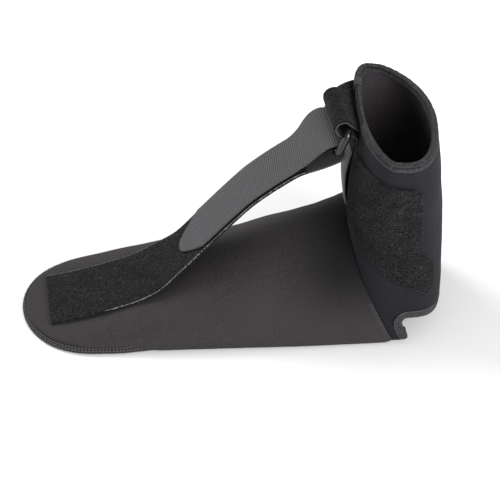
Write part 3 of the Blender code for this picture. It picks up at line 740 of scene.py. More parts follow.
@functools.lru_cache(maxsize=None)
def knit_finish(name, colour, lining, gauge, mottle):
    """Fine knit bonded on foam, with a plainer lining on the inner skin."""
    material, recipe, shader = new_finish(name)
    place = recipe.place()
    _, across, along = recipe.cloth()
    wales = recipe.sine(across * (math.tau / gauge))
    courses = recipe.sine(along * (math.tau / (gauge * 0.8)) + abs(wales) * 1.8)
    loops = abs(wales) * 0.6 + courses * 0.4
    fine = recipe.grain(place, 0.0016, 3.0, 0.6)
    cloud = recipe.grain(place, 0.035, 3.0, 0.5)
    speck = recipe.contrast(fine, 0.30, 0.72)
    tone = recipe.mix(speck, shade(colour, 1 - mottle), shade(colour, 1 + mottle))
    tone = recipe.mix(recipe.contrast(cloud, 0.3, 0.7), tone, shade(colour, 1.10))
    knots = recipe.contrast(loops, -0.2, 0.9, 0.0, 1.0)
    tone = recipe.mix(knots * 0.22, tone, shade(colour, 1.45))
    inside = recipe.contrast(recipe.attribute("inside"), 0.55, 0.95)
    inner = recipe.mix(speck, shade(lining, 1 - mottle * 0.5), shade(lining, 1 + mottle * 0.5))
    tone = recipe.mix(inside, tone, inner)
    # Painted shade ahead of the ankle seam: the attribute darkens the knit towards black, since no dent is
    # modelled
    tone = recipe.mix(recipe.attribute("hollow") * PAINTED_SHADE_DARKNESS, tone, (0.0, 0.0, 0.0005))
    rise = recipe.bump(loops, 0.00010, 0.5)
    rise = recipe.bump(fine, 0.00045, 0.5, rise)
    set_shader(
        recipe, shader, Base_Color=tone, Normal=rise, Roughness=0.85, Specular_IOR_Level=0.16,
        Sheen_Weight=0.03, Sheen_Roughness=0.5, Sheen_Tint=(0.8, 0.8, 0.85, 1.0),
    )
    return material


@functools.lru_cache(maxsize=None)
def pile_finish(name, dark, light):
    """Loop pile: grey loop tops over a black ground."""
    material, recipe, shader = new_finish(name)
    place = recipe.place()
    tuft = recipe.attribute("tuft")
    fine = recipe.grain(place, 0.0006, 2.0, 0.6)
    top = recipe.contrast(tuft * 0.45 + fine, 0.15, 0.95)
    top = top ** 1.8
    wide = recipe.grain(place, 0.012, 2.0)
    tone = recipe.mix(top, dark, light)
    tone = recipe.mix(recipe.contrast(wide, 0.35, 0.65) * 0.35, tone, dark)
    inside = recipe.contrast(recipe.attribute("inside"), 0.6, 0.9)
    tone = recipe.mix(inside, tone, shade(dark, 1.6))
    rise = recipe.bump(fine, 0.0005, 0.6)
    set_shader(
        recipe, shader, Base_Color=tone, Normal=rise, Roughness=0.9, Specular_IOR_Level=0.12,
        Sheen_Weight=0.04, Sheen_Roughness=0.5, Sheen_Tint=(0.85, 0.87, 0.9, 1.0),
    )
    return material


@functools.lru_cache(maxsize=None)
def binding_finish(name, colour, folds=()):
    """Fuzzy rolled knit tape with painted shade along its folds."""
    material, recipe, shader = new_finish(name)
    place = recipe.place()
    fuzz = recipe.grain(place, 0.0011, 3.0, 0.7)
    wide = recipe.grain(place, 0.006, 2.0)
    _, around, _ = recipe.cloth()
    tone = recipe.mix(recipe.contrast(fuzz, 0.3, 0.75), shade(colour, 0.15), shade(colour, 3.6))
    tone = recipe.mix(recipe.contrast(wide, 0.3, 0.7) * 0.4, tone, shade(colour, 0.6))
    # Painted shade: near-black lines along the binding's folds
    for fold in folds:
        crease_shade = recipe.contrast(abs(around - fold), 0.0002, 0.0009, 0.85, 0.0)
        tone = recipe.mix(crease_shade, tone, (0.002, 0.002, 0.002))
    rise = recipe.bump(fuzz, 0.0006, 0.9)
    set_shader(
        recipe, shader, Base_Color=tone, Normal=rise, Roughness=0.9, Specular_IOR_Level=0.15,
        Sheen_Weight=0.06, Sheen_Roughness=0.5, Sheen_Tint=(0.85, 0.85, 0.88, 1.0),
    )
    return material


@functools.lru_cache(maxsize=None)
def weave_finish(name, colour, pitch, rib_contrast):
    """Woven tape with ribs across it."""
    material, recipe, shader = new_finish(name)
    place = recipe.place()
    _, across, along = recipe.cloth()
    fine = recipe.grain(place, 0.0006, 3.0, 0.7)
    warp = recipe.sine(across * (math.tau / (pitch * 0.55)))
    weft = recipe.sine(along * (math.tau / pitch))
    weave = weft * 0.6 + warp * 0.25
    low, high = shade(colour, 1 - rib_contrast), shade(colour, 1 + rib_contrast)
    tone = recipe.mix(recipe.contrast(weave, -0.8, 0.8), low, high)
    tone = recipe.mix(recipe.contrast(fine, 0.3, 0.7) * 0.5, tone, shade(colour, 0.62))
    rise = recipe.bump(weave, 0.00012, 0.8)
    rise = recipe.bump(fine, 0.0003, 0.6, rise)
    set_shader(
        recipe, shader, Base_Color=tone, Normal=rise, Roughness=0.68, Specular_IOR_Level=0.25,
        Sheen_Weight=0.04, Sheen_Roughness=0.4,
    )
    return material


@functools.lru_cache(maxsize=None)
def plastic_finish(name, colour):
    """Glossy moulded plastic."""
    material, recipe, shader = new_finish(name)
    place = recipe.place()
    fine = recipe.grain(place, 0.0015, 3.0)
    wide = recipe.grain(place, 0.009, 2.0)
    tone = recipe.mix(wide, shade(colour, 0.8), shade(colour, 1.25))
    set_shader(
        recipe, shader, Base_Color=tone, Normal=recipe.bump(fine, 0.00008, 0.35),
        Roughness=recipe.contrast(wide, 0.3, 0.7, 0.20, 0.32), IOR=1.5,
    )
    return material


@functools.lru_cache(maxsize=None)
def thread_finish(name, colour):
    """Twisted sewing thread."""
    material, recipe, shader = new_finish(name)
    place = recipe.place()
    fine = recipe.grain(place, 0.0005, 2.0)
    tone = recipe.mix(recipe.contrast(fine, 0.3, 0.7), shade(colour, 0.7), shade(colour, 1.3))
    set_shader(
        recipe, shader, Base_Color=tone, Normal=recipe.bump(fine, 0.0002, 0.5),
        Roughness=0.65, Specular_IOR_Level=0.25,
    )
    return material


# What repeats: stitches, overlock threads and ribs


def new_tree(name, sizes):
    """A geometry tree with one geometry input and named sizes, and its recipe."""
    tree = bpy.data.node_groups.new(name, "GeometryNodeTree")
    face = tree.interface
    face.new_socket("Lines", in_out="INPUT", socket_type="NodeSocketGeometry")
    for size, kind in sizes:
        face.new_socket(size, in_out="INPUT", socket_type=kind)
    face.new_socket("Geometry", in_out="OUTPUT", socket_type="NodeSocketGeometry")
    recipe = Recipe(tree)
    entry = tree.nodes.new("NodeGroupInput")
    wires = {socket.name: Wire(recipe, socket) for socket in entry.outputs if socket.name}
    return tree, recipe, wires


def close_tree(recipe, geometry, finish):
    real = recipe.add("GeometryNodeRealizeInstances", None, {0: geometry})
    soft = recipe.add("GeometryNodeSetShadeSmooth", None, {0: real})
    done = recipe.add("GeometryNodeSetMaterial", None, {0: soft, "Material": finish})
    leave = recipe.tree.nodes.new("NodeGroupOutput")
    recipe.tree.links.new(done.socket, leave.inputs[0])


@functools.lru_cache(maxsize=None)
def stitch_tree():
    """Stitches at even steps along seam lines, lying flat, slanted to and fro."""
    sizes = (
        ("Spacing", "NodeSocketFloat"),
        ("Length", "NodeSocketFloat"),
        ("Thread radius", "NodeSocketFloat"),
        ("Slant", "NodeSocketFloat"),
        ("Finish", "NodeSocketMaterial"),
    )
    tree, recipe, wires = new_tree("stitches", sizes)
    curve = recipe.add("GeometryNodeMeshToCurve", None, {0: wires["Lines"]})
    steps = recipe.add(
        "GeometryNodeResampleCurve", {"mode": "LENGTH"}, {"Curve": curve, "Length": wires["Spacing"]}
    )
    tangent = recipe.add("GeometryNodeInputTangent")
    up = recipe.add("GeometryNodeInputNamedAttribute", {"data_type": "FLOAT_VECTOR"}, {"Name": "up"})
    order = recipe.add("GeometryNodeInputIndex")
    odd = recipe.add("ShaderNodeMath", {"operation": "MODULO"}, {0: order, 1: 2.0})
    angle = (odd * 2.0 - 1.0) * wires["Slant"]
    turned_way = recipe.add(
        "ShaderNodeVectorRotate", {"rotation_type": "AXIS_ANGLE"},
        {"Vector": tangent, "Axis": up, "Angle": angle},
    )
    rotation = recipe.add(
        "FunctionNodeAxesToRotation",
        {"primary_axis": "Z", "secondary_axis": "X"},
        {"Primary Axis": turned_way, "Secondary Axis": up},
    )
    size = recipe.add(
        "ShaderNodeCombineXYZ", None,
        {"X": wires["Thread radius"], "Y": wires["Thread radius"], "Z": wires["Length"] * 0.5},
    )
    bead = recipe.add("GeometryNodeMeshUVSphere", None, {"Segments": 6, "Rings": 5, "Radius": 1.0})
    placed = recipe.add(
        "GeometryNodeInstanceOnPoints", None,
        {"Points": steps, "Instance": bead, "Rotation": rotation, "Scale": size},
    )
    close_tree(recipe, placed, wires["Finish"])
    return tree


@functools.lru_cache(maxsize=None)
def thread_tree():
    """A round thread or rib along each line."""
    sizes = (
        ("Thread radius", "NodeSocketFloat"),
        ("Sides", "NodeSocketInt"),
        ("Finish", "NodeSocketMaterial"),
    )
    tree, recipe, wires = new_tree("threads", sizes)
    curve = recipe.add("GeometryNodeMeshToCurve", None, {0: wires["Lines"]})
    profile = recipe.add(
        "GeometryNodeCurvePrimitiveCircle", {"mode": "RADIUS"},
        {"Resolution": wires["Sides"], "Radius": wires["Thread radius"]},
    )
    body = recipe.add("GeometryNodeCurveToMesh", None, {0: curve, 1: profile, "Fill Caps": True})
    close_tree(recipe, body, wires["Finish"])
    return tree


def run_tree(name, tree, lines, values, finish):
    """Runs a geometry tree over polylines of (point, up) pairs and keeps the plain mesh."""
    verts, edges, ups = [], [], []
    for line in lines:
        for k, (point, up) in enumerate(line):
            if k:
                edges.append((len(verts) - 1, len(verts)))
            verts.append(tuple(point))
            ups.append(tuple(up))
    mesh = bpy.data.meshes.new(name + "_lines")
    mesh.from_pydata(verts, edges, [])
    attribute = mesh.attributes.new("up", "FLOAT_VECTOR", "POINT")
    attribute.data.foreach_set("vector", np.array(ups, float).ravel())
    carrier = bpy.data.objects.new(name, mesh)
    bpy.context.scene.collection.objects.link(carrier)
    modifier = carrier.modifiers.new("nodes", "NODES")
    modifier.node_group = tree
    names = {item.name: item.identifier for item in tree.interface.items_tree if item.in_out == "INPUT"}
    for key, value in values.items():
        modifier[names[key]] = value
    modifier[names["Finish"]] = finish
    graph = bpy.context.evaluated_depsgraph_get()
    result = bpy.data.meshes.new_from_object(carrier.evaluated_get(graph))
    carrier.modifiers.remove(modifier)
    if not result.polygons:
        raise RuntimeError(name + " came out empty")
    carrier.data = result
    result.name = name
    bpy.data.meshes.remove(mesh)
    return carrier


# Panels of the foot and the cuff


def roll_under(x):
    """How far the upper rolls under at its lower edge: 0 at the toe, 1 along the sides."""
    return ease((x - TOE_X - 0.058) / 0.034)


def foot_skin(inset, tuck_steps):
    """Rows of the foot sleeve from the toe to the ankle seam, with its rolled lower edges."""
    start = TOE_X + TOE_ROUND
    turns = spread(math.radians(2.5), math.pi / 2, 44)
    tip = TOE_X + inset
    places = [tip + (start - tip) * (1 - math.cos(turn)) for turn in turns]
    places += spread(start, CREASE_X, 150)[1:]
    shares = [math.sin(math.pi / 2 * s) for s in spread(-1.0, 1.0, 165)]
    rows = []
    for x in places:
        row = [sleeve_point(x, share * SEAM_END_ANGLE, inset) for share in shares]
        roll = roll_under(x)
        sides = []
        for edge in (row[0], row[-1]):
            out = math.copysign(1, edge.y)
            tucked = []
            for k in range(1, tuck_steps + 1):
                t = k / tuck_steps
                if inset:
                    flat, rolled = Vector((0, 0, 0.0005 * (1 - t))), Vector((0, out * 0.0008 * t, 0))
                    rolled.z = -(SEAM_Z - 0.0009) * t
                else:
                    flat = Vector((0, -out * 0.0016 * t, -0.00015 * t))
                    rolled = Vector((0, out * (0.0007 * math.sin(math.pi * t * 0.8) - 0.0016 * t**3), 0))
                    rolled.z = -(SEAM_Z - 0.0004) * t
                tucked.append(edge + flat.lerp(rolled, roll))
            sides.append(tucked)
        rows.append(sides[0][::-1] + row + sides[1])
    points = grid(rows)
    low = SEAM_Z if inset else SEAM_Z - 0.0001
    bare = points[:, tuck_steps:-tuck_steps]
    bare[..., 2] = np.maximum(bare[..., 2], low)
    return points


def make_foot(sizes, finish):
    tuck_steps = 6
    outer, inner = foot_skin(0.0, tuck_steps), foot_skin(WALL, tuck_steps)
    normal = grid_normals(outer, inner)
    fade = edge_fade(*outer.shape[:2], 10, tuck_steps + 8)
    soft = hills(outer, 0.030, 3) * 0.0006 + hills(outer, 0.011, 5) * 0.00018
    outer = outer + normal * (soft * fade)[..., None] * sizes.softness
    # The stitched ankle seam pulls both panels in a little
    rows = np.arange(outer.shape[0])[::-1]
    dip = 0.0007 * np.exp(-((rows / 1.6) ** 2))
    outer -= normal * dip[:, None, None]
    # Painted shade: a mask that darkens the knit ahead of the ankle seam and up the side, where no dent is
    # modelled
    ahead = np.clip((outer[..., 0] - PAINTED_SHADE_FRONT) / PAINTED_SHADE_LENGTH, 0, 1)
    above = np.clip((outer[..., 2] - PAINTED_SHADE_LOW) / PAINTED_SHADE_RISE, 0, 1)
    hollow = ahead**2 * (3 - 2 * ahead) * above**2 * (3 - 2 * above)
    return shell("foot_sleeve", outer, inner, finish, facts={"hollow": hollow}, bulge=0.6)


def sole_half_widths():
    """The near outline of the sole as rows of (x, half width), from the toe to the heel flap."""
    tip_x = TOE_X - SOLE_LIP
    outline = []
    for turn in spread(0.0, math.pi / 2, 40):
        x = tip_x + TOE_ROUND * (1 - math.cos(turn))
        half = FOOT_WIDTH / 2 * smooth(SLEEVE_SECTIONS, (x - TOE_X) / FOOT_LENGTH, 1)
        outline.append((x, (half + SOLE_LIP) * math.sin(turn)))
    for x in spread(TOE_X + TOE_ROUND, CREASE_X, 60)[1:]:
        lip = SOLE_LIP * (1 - ease((x - TOE_X - TOE_ROUND) / (FOOT_LENGTH - TOE_ROUND)))
        point = sleeve_point(x, SEAM_END_ANGLE)
        outline.append((point.x, point.y + lip - 0.0030 * roll_under(x)))
    for angle in spread(SEAM_END_ANGLE, HEEL_FLAP_ANGLE, 12)[1:]:
        point = cuff_point(angle, SEAM_Z)
        outline.append((point.x, point.y - 0.0030))
    return outline


def make_sole(finish):
    xs, halves = zip(*sole_half_widths())
    heel_x = xs[-1]
    half_scoop = halves[-1] - HEEL_CORNER
    shares = [math.sin(math.pi / 2 * s) for s in spread(-1.0, 1.0, 71)]
    ends = []
    for share in shares:
        y = abs(share) * halves[-1]
        scoop = math.sqrt(max(0.0, 1 - (y / half_scoop) ** 2)) if y < half_scoop else 0.0
        ends.append(heel_x - HEEL_SCOOP * scoop)
    steps = [1 - math.cos(math.pi / 2 * t) for t in spread(0.03, 1.0, 30)]
    toe = [xs[0] + TOE_ROUND * step for step in steps]
    rows = [[(x, share * np.interp(x, xs, halves)) for share in shares] for x in toe]
    for t in spread(0.0, 1.0, 100)[1:]:
        row = []
        for share, end in zip(shares, ends):
            x = toe[-1] + (end - toe[-1]) * t
            row.append((x, share * np.interp(x, xs, halves)))
        rows.append(row)
    flat = np.array(rows)
    top = np.concatenate([flat, np.full(flat.shape[:2] + (1,), SOLE_THICKNESS)], axis=-1)
    low = np.concatenate([flat, np.full(flat.shape[:2] + (1,), 0.0)], axis=-1)
    fade = edge_fade(*top.shape[:2], 6, 6)
    top[..., 2] += hills(top, 0.03, 9) * 0.0002 * fade - 0.0006 * (1 - fade)
    low[..., 2] += 0.0006 * (1 - fade)
    return shell("foot_sole", low, top, finish, bulge=0.5)


def heel_curve(count, side):
    """Points (angle, height) along the heel opening's edge on one side."""
    rows = np.array(HEEL_EDGE)
    scaled = rows * np.array([COLUMN_SCALE, 1.0])
    along = np.concatenate([[0], np.cumsum(np.linalg.norm(np.diff(scaled, axis=0), axis=1))])
    at = np.linspace(0, along[-1], count)
    table = tuple((float(s), float(a), float(z)) for s, (a, z) in zip(along, rows))
    return [(side * math.radians(smooth(table, s, 1)), smooth(table, s, 2)) for s in at]


def cuff_grid(angles, low, high, rows, inset):
    """Rows of cuff points between two height functions of the angle."""
    points = []
    for t in spread(0.0, 1.0, rows):
        points.append([cuff_point(a, low(a) + (high(a) - low(a)) * t, inset) for a in angles])
    return grid(points)


def even_out(points, passes):
    """Evens the turn of each row of points, keeping its ends."""
    for _ in range(passes):
        points[:, 1:-1] += 0.5 * ((points[:, :-2] + points[:, 2:]) / 2 - points[:, 1:-1])
    return points


def make_cuff(sizes, finish):
    start = FRONT_PANEL_FAR + math.radians(0.4)
    end = 2 * math.pi + FRONT_PANEL_NEAR - math.radians(0.4)
    angles = spread(start, end, 233)
    rows = 110

    def low(angle):
        side = turned(angle)
        if abs(side) <= SEAM_END_ANGLE:
            return seam_height(side) + 0.0002
        return SEAM_Z - 0.0002

    outer = even_out(cuff_grid(angles, low, cuff_top, rows, 0.0), 8)
    inner = even_out(cuff_grid(angles, low, cuff_top, rows, WALL), 8)
    degrees = np.degrees([abs(turned(a)) for a in angles])
    degrees = np.broadcast_to(degrees, outer.shape[:2])
    heights = outer[..., 2]
    curve = np.array([(math.degrees(a), z) for a, z in heel_curve(400, 1)])
    front = np.interp(heights, curve[:150, 1], curve[:150, 0])
    upper = np.interp(degrees, curve[60:, 0], curve[60:, 1])
    in_hole = (degrees > front) & (heights < upper - 1e-6) & (degrees > 92.0)
    corners = in_hole[:-1, :-1].astype(int) + in_hole[1:, :-1] + in_hole[:-1, 1:] + in_hole[1:, 1:]
    keep = corners == 0
    # Points round the opening move onto its smooth edge
    used = np.zeros(in_hole.shape, bool)
    for dr in (0, 1):
        for dc in (0, 1):
            used[dr:rows - 1 + dr, dc:len(angles) - 1 + dc] |= keep
    near_hole = np.zeros(in_hole.shape, bool)
    for dr in (-1, 0, 1):
        for dc in (-1, 0, 1):
            near_hole |= np.roll(np.roll(in_hole, dr, 0), dc, 1)
    near_hole[rows // 2:] = False
    scale = np.array([COLUMN_SCALE, 1.0])
    for r, c in zip(*np.nonzero(used & near_hole)):
        here = np.array([degrees[r, c], heights[r, c]])
        best = curve[np.argmin(np.linalg.norm((curve - here) * scale, axis=1))]
        side = math.copysign(1, turned(angles[c]))
        angle = side * math.radians(best[0])
        z = max(best[1], SEAM_Z - 0.0002)
        outer[r, c] = cuff_point(angle, z)
        inner[r, c] = cuff_point(angle, z, WALL)
    lengths = cloth_lengths(outer)
    normal = grid_normals(outer, inner)
    fade = edge_fade(*outer.shape[:2], 8, 6)
    soft = hills(outer, 0.028, 13) * 0.0007 + hills(outer, 0.010, 15) * 0.00018
    outer = outer + normal * (soft * fade)[..., None] * sizes.softness
    from_seam = np.arange(rows)[:, None] * np.ones(len(angles))
    dip = 0.0007 * np.exp(-((from_seam / 1.4) ** 2)) * (degrees < 92)
    outer -= normal * dip[..., None]
    return shell("leg_cuff", outer, inner, finish, keep=keep, lengths=lengths, bulge=0.6)


def make_cuff_front(finish):
    angles = spread(FRONT_PANEL_NEAR, FRONT_PANEL_FAR, 41)

    def low(angle):
        return seam_height(angle) + 0.0002

    outer = cuff_grid(angles, low, cuff_top, 70, FRONT_PANEL_INSET)
    inner = cuff_grid(angles, low, cuff_top, 70, FRONT_PANEL_INSET + FRONT_PANEL_WALL)
    return shell("cuff_front_panel", outer, inner, finish, bulge=0.6)


# Edge bindings


def roll_section(half, width_out, width_in, lift):
    """Half-round fold with two legs, as (outward, up) pairs, counter-clockwise."""
    legs = [(half, -width_out), (half + 0.00035, -width_out * 0.6), (half + 0.0002, -width_out * 0.25)]
    crown = [(half * math.cos(a) * 1.12, lift * math.sin(a)) for a in spread(0.15, math.pi - 0.15, 9)]
    inner = [(-half - 0.0002, -width_in * 0.25), (-half - 0.0003, -width_in * 0.6), (-half, -width_in)]
    return legs + crown + inner


def top_stations(angles, inset, wall):
    """Frames along the cuff's top edge as (middle, outward, up)."""
    stations = []
    for angle in angles:
        top = cuff_top(angle)
        middle = (cuff_point(angle, top, inset) + cuff_point(angle, top, inset + wall)) / 2
        stations.append((middle, cuff_outward(angle, top), Vector((0, 0, 1))))
    return stations


def make_roll(name, stations, section, fuzz, seed, finish):
    """A binding swept along frames, with a slightly uneven, fuzzy surface."""
    rings = np.array(
        [[tuple(middle + out * a + up * b) for a, b in section] for middle, out, up in stations]
    )
    centre = rings.mean(axis=1, keepdims=True)
    bumps = tufts(rings.shape[0], rings.shape[1], seed)
    rings += unit(rings - centre) * (bumps * fuzz)[..., None]
    return sweep(name, rings, finish)


def overlock(name, stations, section, pitch, radius, lean, finish):
    """Threads that wrap an edge, one for each step along it."""
    places = np.array([tuple(middle) for middle, _, _ in stations])
    along = np.concatenate([[0], np.cumsum(np.linalg.norm(np.diff(places, axis=0), axis=1))])
    lines = []
    count = int(along[-1] / pitch)
    for k in range(count):
        line = []
        for j, (a, b) in enumerate(section):
            at = min((k + 0.5) * pitch + lean * j / (len(section) - 1), along[-1])
            i = min(int(np.searchsorted(along, at, "right")) - 1, len(stations) - 2)
            t = (at - along[i]) / (along[i + 1] - along[i])
            one, two = stations[i], stations[i + 1]
            middle, out, up = (one[n].lerp(two[n], t) for n in range(3))
            line.append((middle + out * a + up * b, out))
        lines.append(line)
    values = {"Thread radius": radius, "Sides": 5}
    return run_tree(name, thread_tree(), lines, values, finish)


def band_stations(side):
    """Frames round the heel opening's edge: middle, outward and towards the opening."""
    curve = heel_curve(120, side)
    curve = [(a, z) for a, z in curve if z > SOLE_THICKNESS]
    middles = [cuff_point(a, z, WALL / 2) for a, z in curve]
    stations = []
    for k, (a, z) in enumerate(curve):
        one, two = middles[max(k - 1, 0)], middles[min(k + 1, len(middles) - 1)]
        out = cuff_outward(a, z)
        to_hole = (two - one).normalized().cross(out).normalized() * side
        stations.append((middles[k], out, to_hole))
    if stations[-5][2].z > 0:
        stations = [(middle, out, -to_hole) for middle, out, to_hole in stations]
    return stations


# Pile, tapes and the ring


def pile_up(outer, inner, height, seed):
    """Raises a grid's outer skin into tufts; returns it with each point's tuft height."""
    rows, columns = outer.shape[:2]
    tuft = tufts(rows, columns, seed)
    fade = edge_fade(rows, columns, 2, 2)
    normal = grid_normals(outer, inner)
    ragged = tufts(rows, columns, seed + 1)
    lift = (tuft * height + 0.25 * height) * fade
    raised = outer + normal * lift[..., None]
    edge = 1 - edge_fade(rows, columns, 1, 1)
    raised += unit(np.gradient(raised, axis=1)) * (ragged * edge * 0.00035)[..., None]
    return raised, tuft


def patch_place(along, up):
    """A point on the cuff under the loop patch and the way out of the cloth."""
    top_angle = PATCH_START + (PATCH_END - PATCH_START) * along
    low = CUFF_FRONT_HEIGHT * smooth(PATCH_LOWER_EDGE, along, 1)
    high = cuff_top(top_angle) - PATCH_TOP_DROP
    corner = 1 - ease(min(1 - along, PATCH_CORNER) / PATCH_CORNER)
    low, high = low + corner * PATCH_CORNER_CUT, high - corner * PATCH_CORNER_CUT
    z = low + (high - low) * up
    lobe = ease((PATCH_LOBE_START - z / high) / PATCH_LOBE_BLEND)
    angle = top_angle + along**3 * lobe * PATCH_LOBE_ANGLE
    return cuff_point(angle, z), cuff_outward(angle, z)


def make_patch(sizes, finish):
    outer, inner = [], []
    for up in spread(0.0, 1.0, 150):
        row = [patch_place(along, up) for along in spread(0.0, 1.0, 125)]
        inner.append([place + out * 0.0001 for place, out in row])
        outer.append([place + out * (PATCH_GAP + PATCH_THICKNESS * 0.8) for place, out in row])
    outer, inner = grid(outer), grid(inner)
    raised, tuft = pile_up(outer, inner, sizes.pile, 21)
    return shell("cuff_loop_pile", raised, inner, finish, facts={"tuft": tuft}, bulge=0.8)


def strap_rows(toe_rows, free_rows, across):
    """Rows of (lower point, way out) for the toe strap."""
    rows = []
    for x in spread(TOE_X + STRAP_START, TOE_X + STRAP_LIFT, toe_rows)[:-1]:
        step = 0.001
        slope = (sleeve_ridge(x + step) - sleeve_ridge(x - step)) / (2 * step)
        lean = Vector((-slope, 0, 1)).normalized()
        row = []
        for side in across:
            y = side * STRAP_WIDTH / 2
            row.append((Vector((x, y, sleeve_ridge(x, y))) + lean * LAY_GAP, lean))
        rows.append(row)
    lift, ring = strap_ends()
    run = ring.x - lift.x
    for share in spread(0.0, STRAP_END_SHARE, free_rows):
        lean = strap_normal(share)
        middle = strap_line(share)
        width = STRAP_WIDTH + (STRAP_FREE_WIDTH - STRAP_WIDTH) * ease((share - 0.14) / 0.14)
        crown = 1 - ease(share * run / STRAP_FLATTEN)
        row = []
        for side in across:
            y = side * width / 2
            sag = (sleeve_ridge(lift.x, y) - sleeve_ridge(lift.x)) * crown
            row.append((middle + strap_sideways(share) * y + Vector((0, 0, sag)), lean))
        rows.append(row)
    return rows


def make_strap(sizes, finish, selvedge):
    rows = strap_rows(90, 250, spread(-1.0, 1.0, 78))
    inner = grid([[low for low, _ in row] for row in rows])
    outer = grid([[low + lean * STRAP_THICKNESS * 0.85 for low, lean in row] for row in rows])
    raised, tuft = pile_up(outer, inner, sizes.pile, 31)
    strap = shell("toe_strap_pile", raised, inner, finish, facts={"tuft": tuft}, bulge=0.7)
    lines = []
    for side in (0, -1):
        rim = [
            (Vector(inner[r, side]).lerp(Vector(outer[r, side]), 0.75), Vector((0, 0, 1)))
            for r in range(62 if side == 0 else 0, len(inner))
        ]
        lines.append(rim)
    edge = run_tree(
        "toe_strap_edges", thread_tree(), lines, {"Thread radius": 0.0005, "Sides": 6}, selvedge
    )
    return strap, edge


def tape_frames():
    """The hook tape's path at even steps as (point, normal, sideways, width)."""
    path = tape_path()
    lefts = np.array([left for _, _, _, left in path])
    frames = []
    step = 0.0008
    for at in np.arange(lefts[0], 0.0, -step):
        i = int(np.searchsorted(-lefts, -at, "right")) - 1
        i = min(max(i, 0), len(path) - 2)
        t = (lefts[i] - at) / (lefts[i] - lefts[i + 1])
        point, normal, across = (path[i][n].lerp(path[i + 1][n], t) for n in range(3))
        share = min(at / TAPE_POINT, 1.0) ** 0.66
        width = TAPE_POINT_WIDTH + (TAPE_WIDTH - TAPE_POINT_WIDTH) * share
        if at < 0.002:
            width *= math.sqrt(max(0.02, 1 - (1 - at / 0.002) ** 2)) * 0.55 + 0.45
        frames.append((point, normal.normalized(), across.normalized(), width))
    return frames


def make_tape(sizes, finish, rib_finish):
    frames = tape_frames()
    across = [math.sin(math.pi / 2 * s) for s in spread(-1.0, 1.0, 25)]
    half = TAPE_THICKNESS / 2 * 0.8
    outer, inner = [], []
    for point, normal, side, width in frames:
        outer.append([point + side * s * width / 2 - normal * half for s in across])
        inner.append([point + side * s * width / 2 + normal * half for s in across])
    tape = shell("hook_strap", grid(outer), grid(inner), finish, bulge=0.8)
    every = max(1, round(sizes.rib_pitch / 0.0008))
    lines = []
    for k in range(2, len(frames) - 2, every):
        point, normal, side, width = frames[k]
        for face in (-1, 1):
            raise_by = normal * face * half
            line = [point + side * s * (width / 2 - 0.0004) + raise_by for s in spread(-1.0, 1.0, 9)]
            lines.append([(place, normal) for place in line])
    ribs = run_tree(
        "hook_strap_ribs", thread_tree(), lines, {"Thread radius": sizes.rib, "Sides": 6}, rib_finish
    )
    return tape, ribs


def make_ring(finish):
    along, up, out = ring_axes()
    half_width = (RING_INSIDE_WIDTH + RING_BAR) / 2
    half_depth = (RING_INSIDE_DEPTH + RING_BAR) / 2
    middle = (lower_bar() + upper_bar()) / 2
    path = []
    for quarter in range(4):
        sx, sy = ((1, 1), (-1, 1), (-1, -1), (1, -1))[quarter]
        for turn in spread(0.0, math.pi / 2, 12):
            a = turn + quarter * math.pi / 2
            x = sx * (half_width - RING_CORNER) + RING_CORNER * math.cos(a)
            y = sy * (half_depth - RING_CORNER) + RING_CORNER * math.sin(a)
            path.append((x, y, math.cos(a), math.sin(a)))
    rings = []
    for x, y, nx, ny in path:
        ring = []
        for k in range(20):
            turn = math.tau * k / 20
            a = RING_BAR / 2 * RING_FULLNESS * power(math.cos(turn), 0.8)
            b = RING_BAR / 2 * RING_FULLNESS * power(math.sin(turn), 0.8)
            ring.append(tuple(middle + along * (x + nx * a) + up * (y + ny * a) + out * b))
        rings.append(ring)
    return sweep("plastic_ring", rings, finish, closed=True)


def tab_stations():
    """The ring tab's middle line as (point, normal, sideways, root share)."""
    centre = curl_centre()
    stand = LAY_GAP + TAB_THICKNESS / 2
    middle, level = ring_axes()[0], Vector((0, 1, 0))

    def on_cuff(z):
        place = cuff_point(0.0, z, FRONT_PANEL_INSET)
        return Vector((place.x - stand, 0, z)), Vector((1, 0, 0))

    low = [on_cuff(centre.z - TAB_LOW_ROOT + rise) for rise in spread(0.0, 0.009, 8)]
    round_bar = []
    for turn in spread(math.radians(-62), math.radians(-285), 60):
        out = Vector((math.cos(turn), 0, math.sin(turn)))
        round_bar.append((centre + out * TAB_CURL_RADIUS, -out))
    high = on_cuff(cuff_top(FRONT_PANEL_NEAR) - FRONT_BINDING_WIDTH - TAB_TOP_DROP)
    stations = [(point, normal, level, 1.0) for point, normal in low]
    one, two = low[-1], round_bar[0]
    for t in spread(0.0, 1.0, 12)[1:-1]:
        normal = one[1].lerp(two[1], t).normalized()
        stations.append((one[0].lerp(two[0], t), normal, level.lerp(middle, t), 1 - t))
    stations += [(point, normal, middle, 0.0) for point, normal in round_bar]
    one = round_bar[-1]
    for t in spread(0.0, 1.0, 14)[1:]:
        normal = one[1].lerp(-high[1], t).normalized()
        stations.append((one[0].lerp(high[0], t), normal, middle.lerp(level, t), t))
    return stations


def front_bend(y, z):
    """How far the cuff's front falls back at a distance beside its middle."""
    half = abs(cuff_point(math.pi / 2, z, FRONT_PANEL_INSET).y)
    angle = math.copysign(math.asin(min(abs(y) / half, 1.0) ** (CUFF_SQUARENESS / 2)), y)
    return cuff_point(angle, z, FRONT_PANEL_INSET).x - cuff_point(0.0, z, FRONT_PANEL_INSET).x


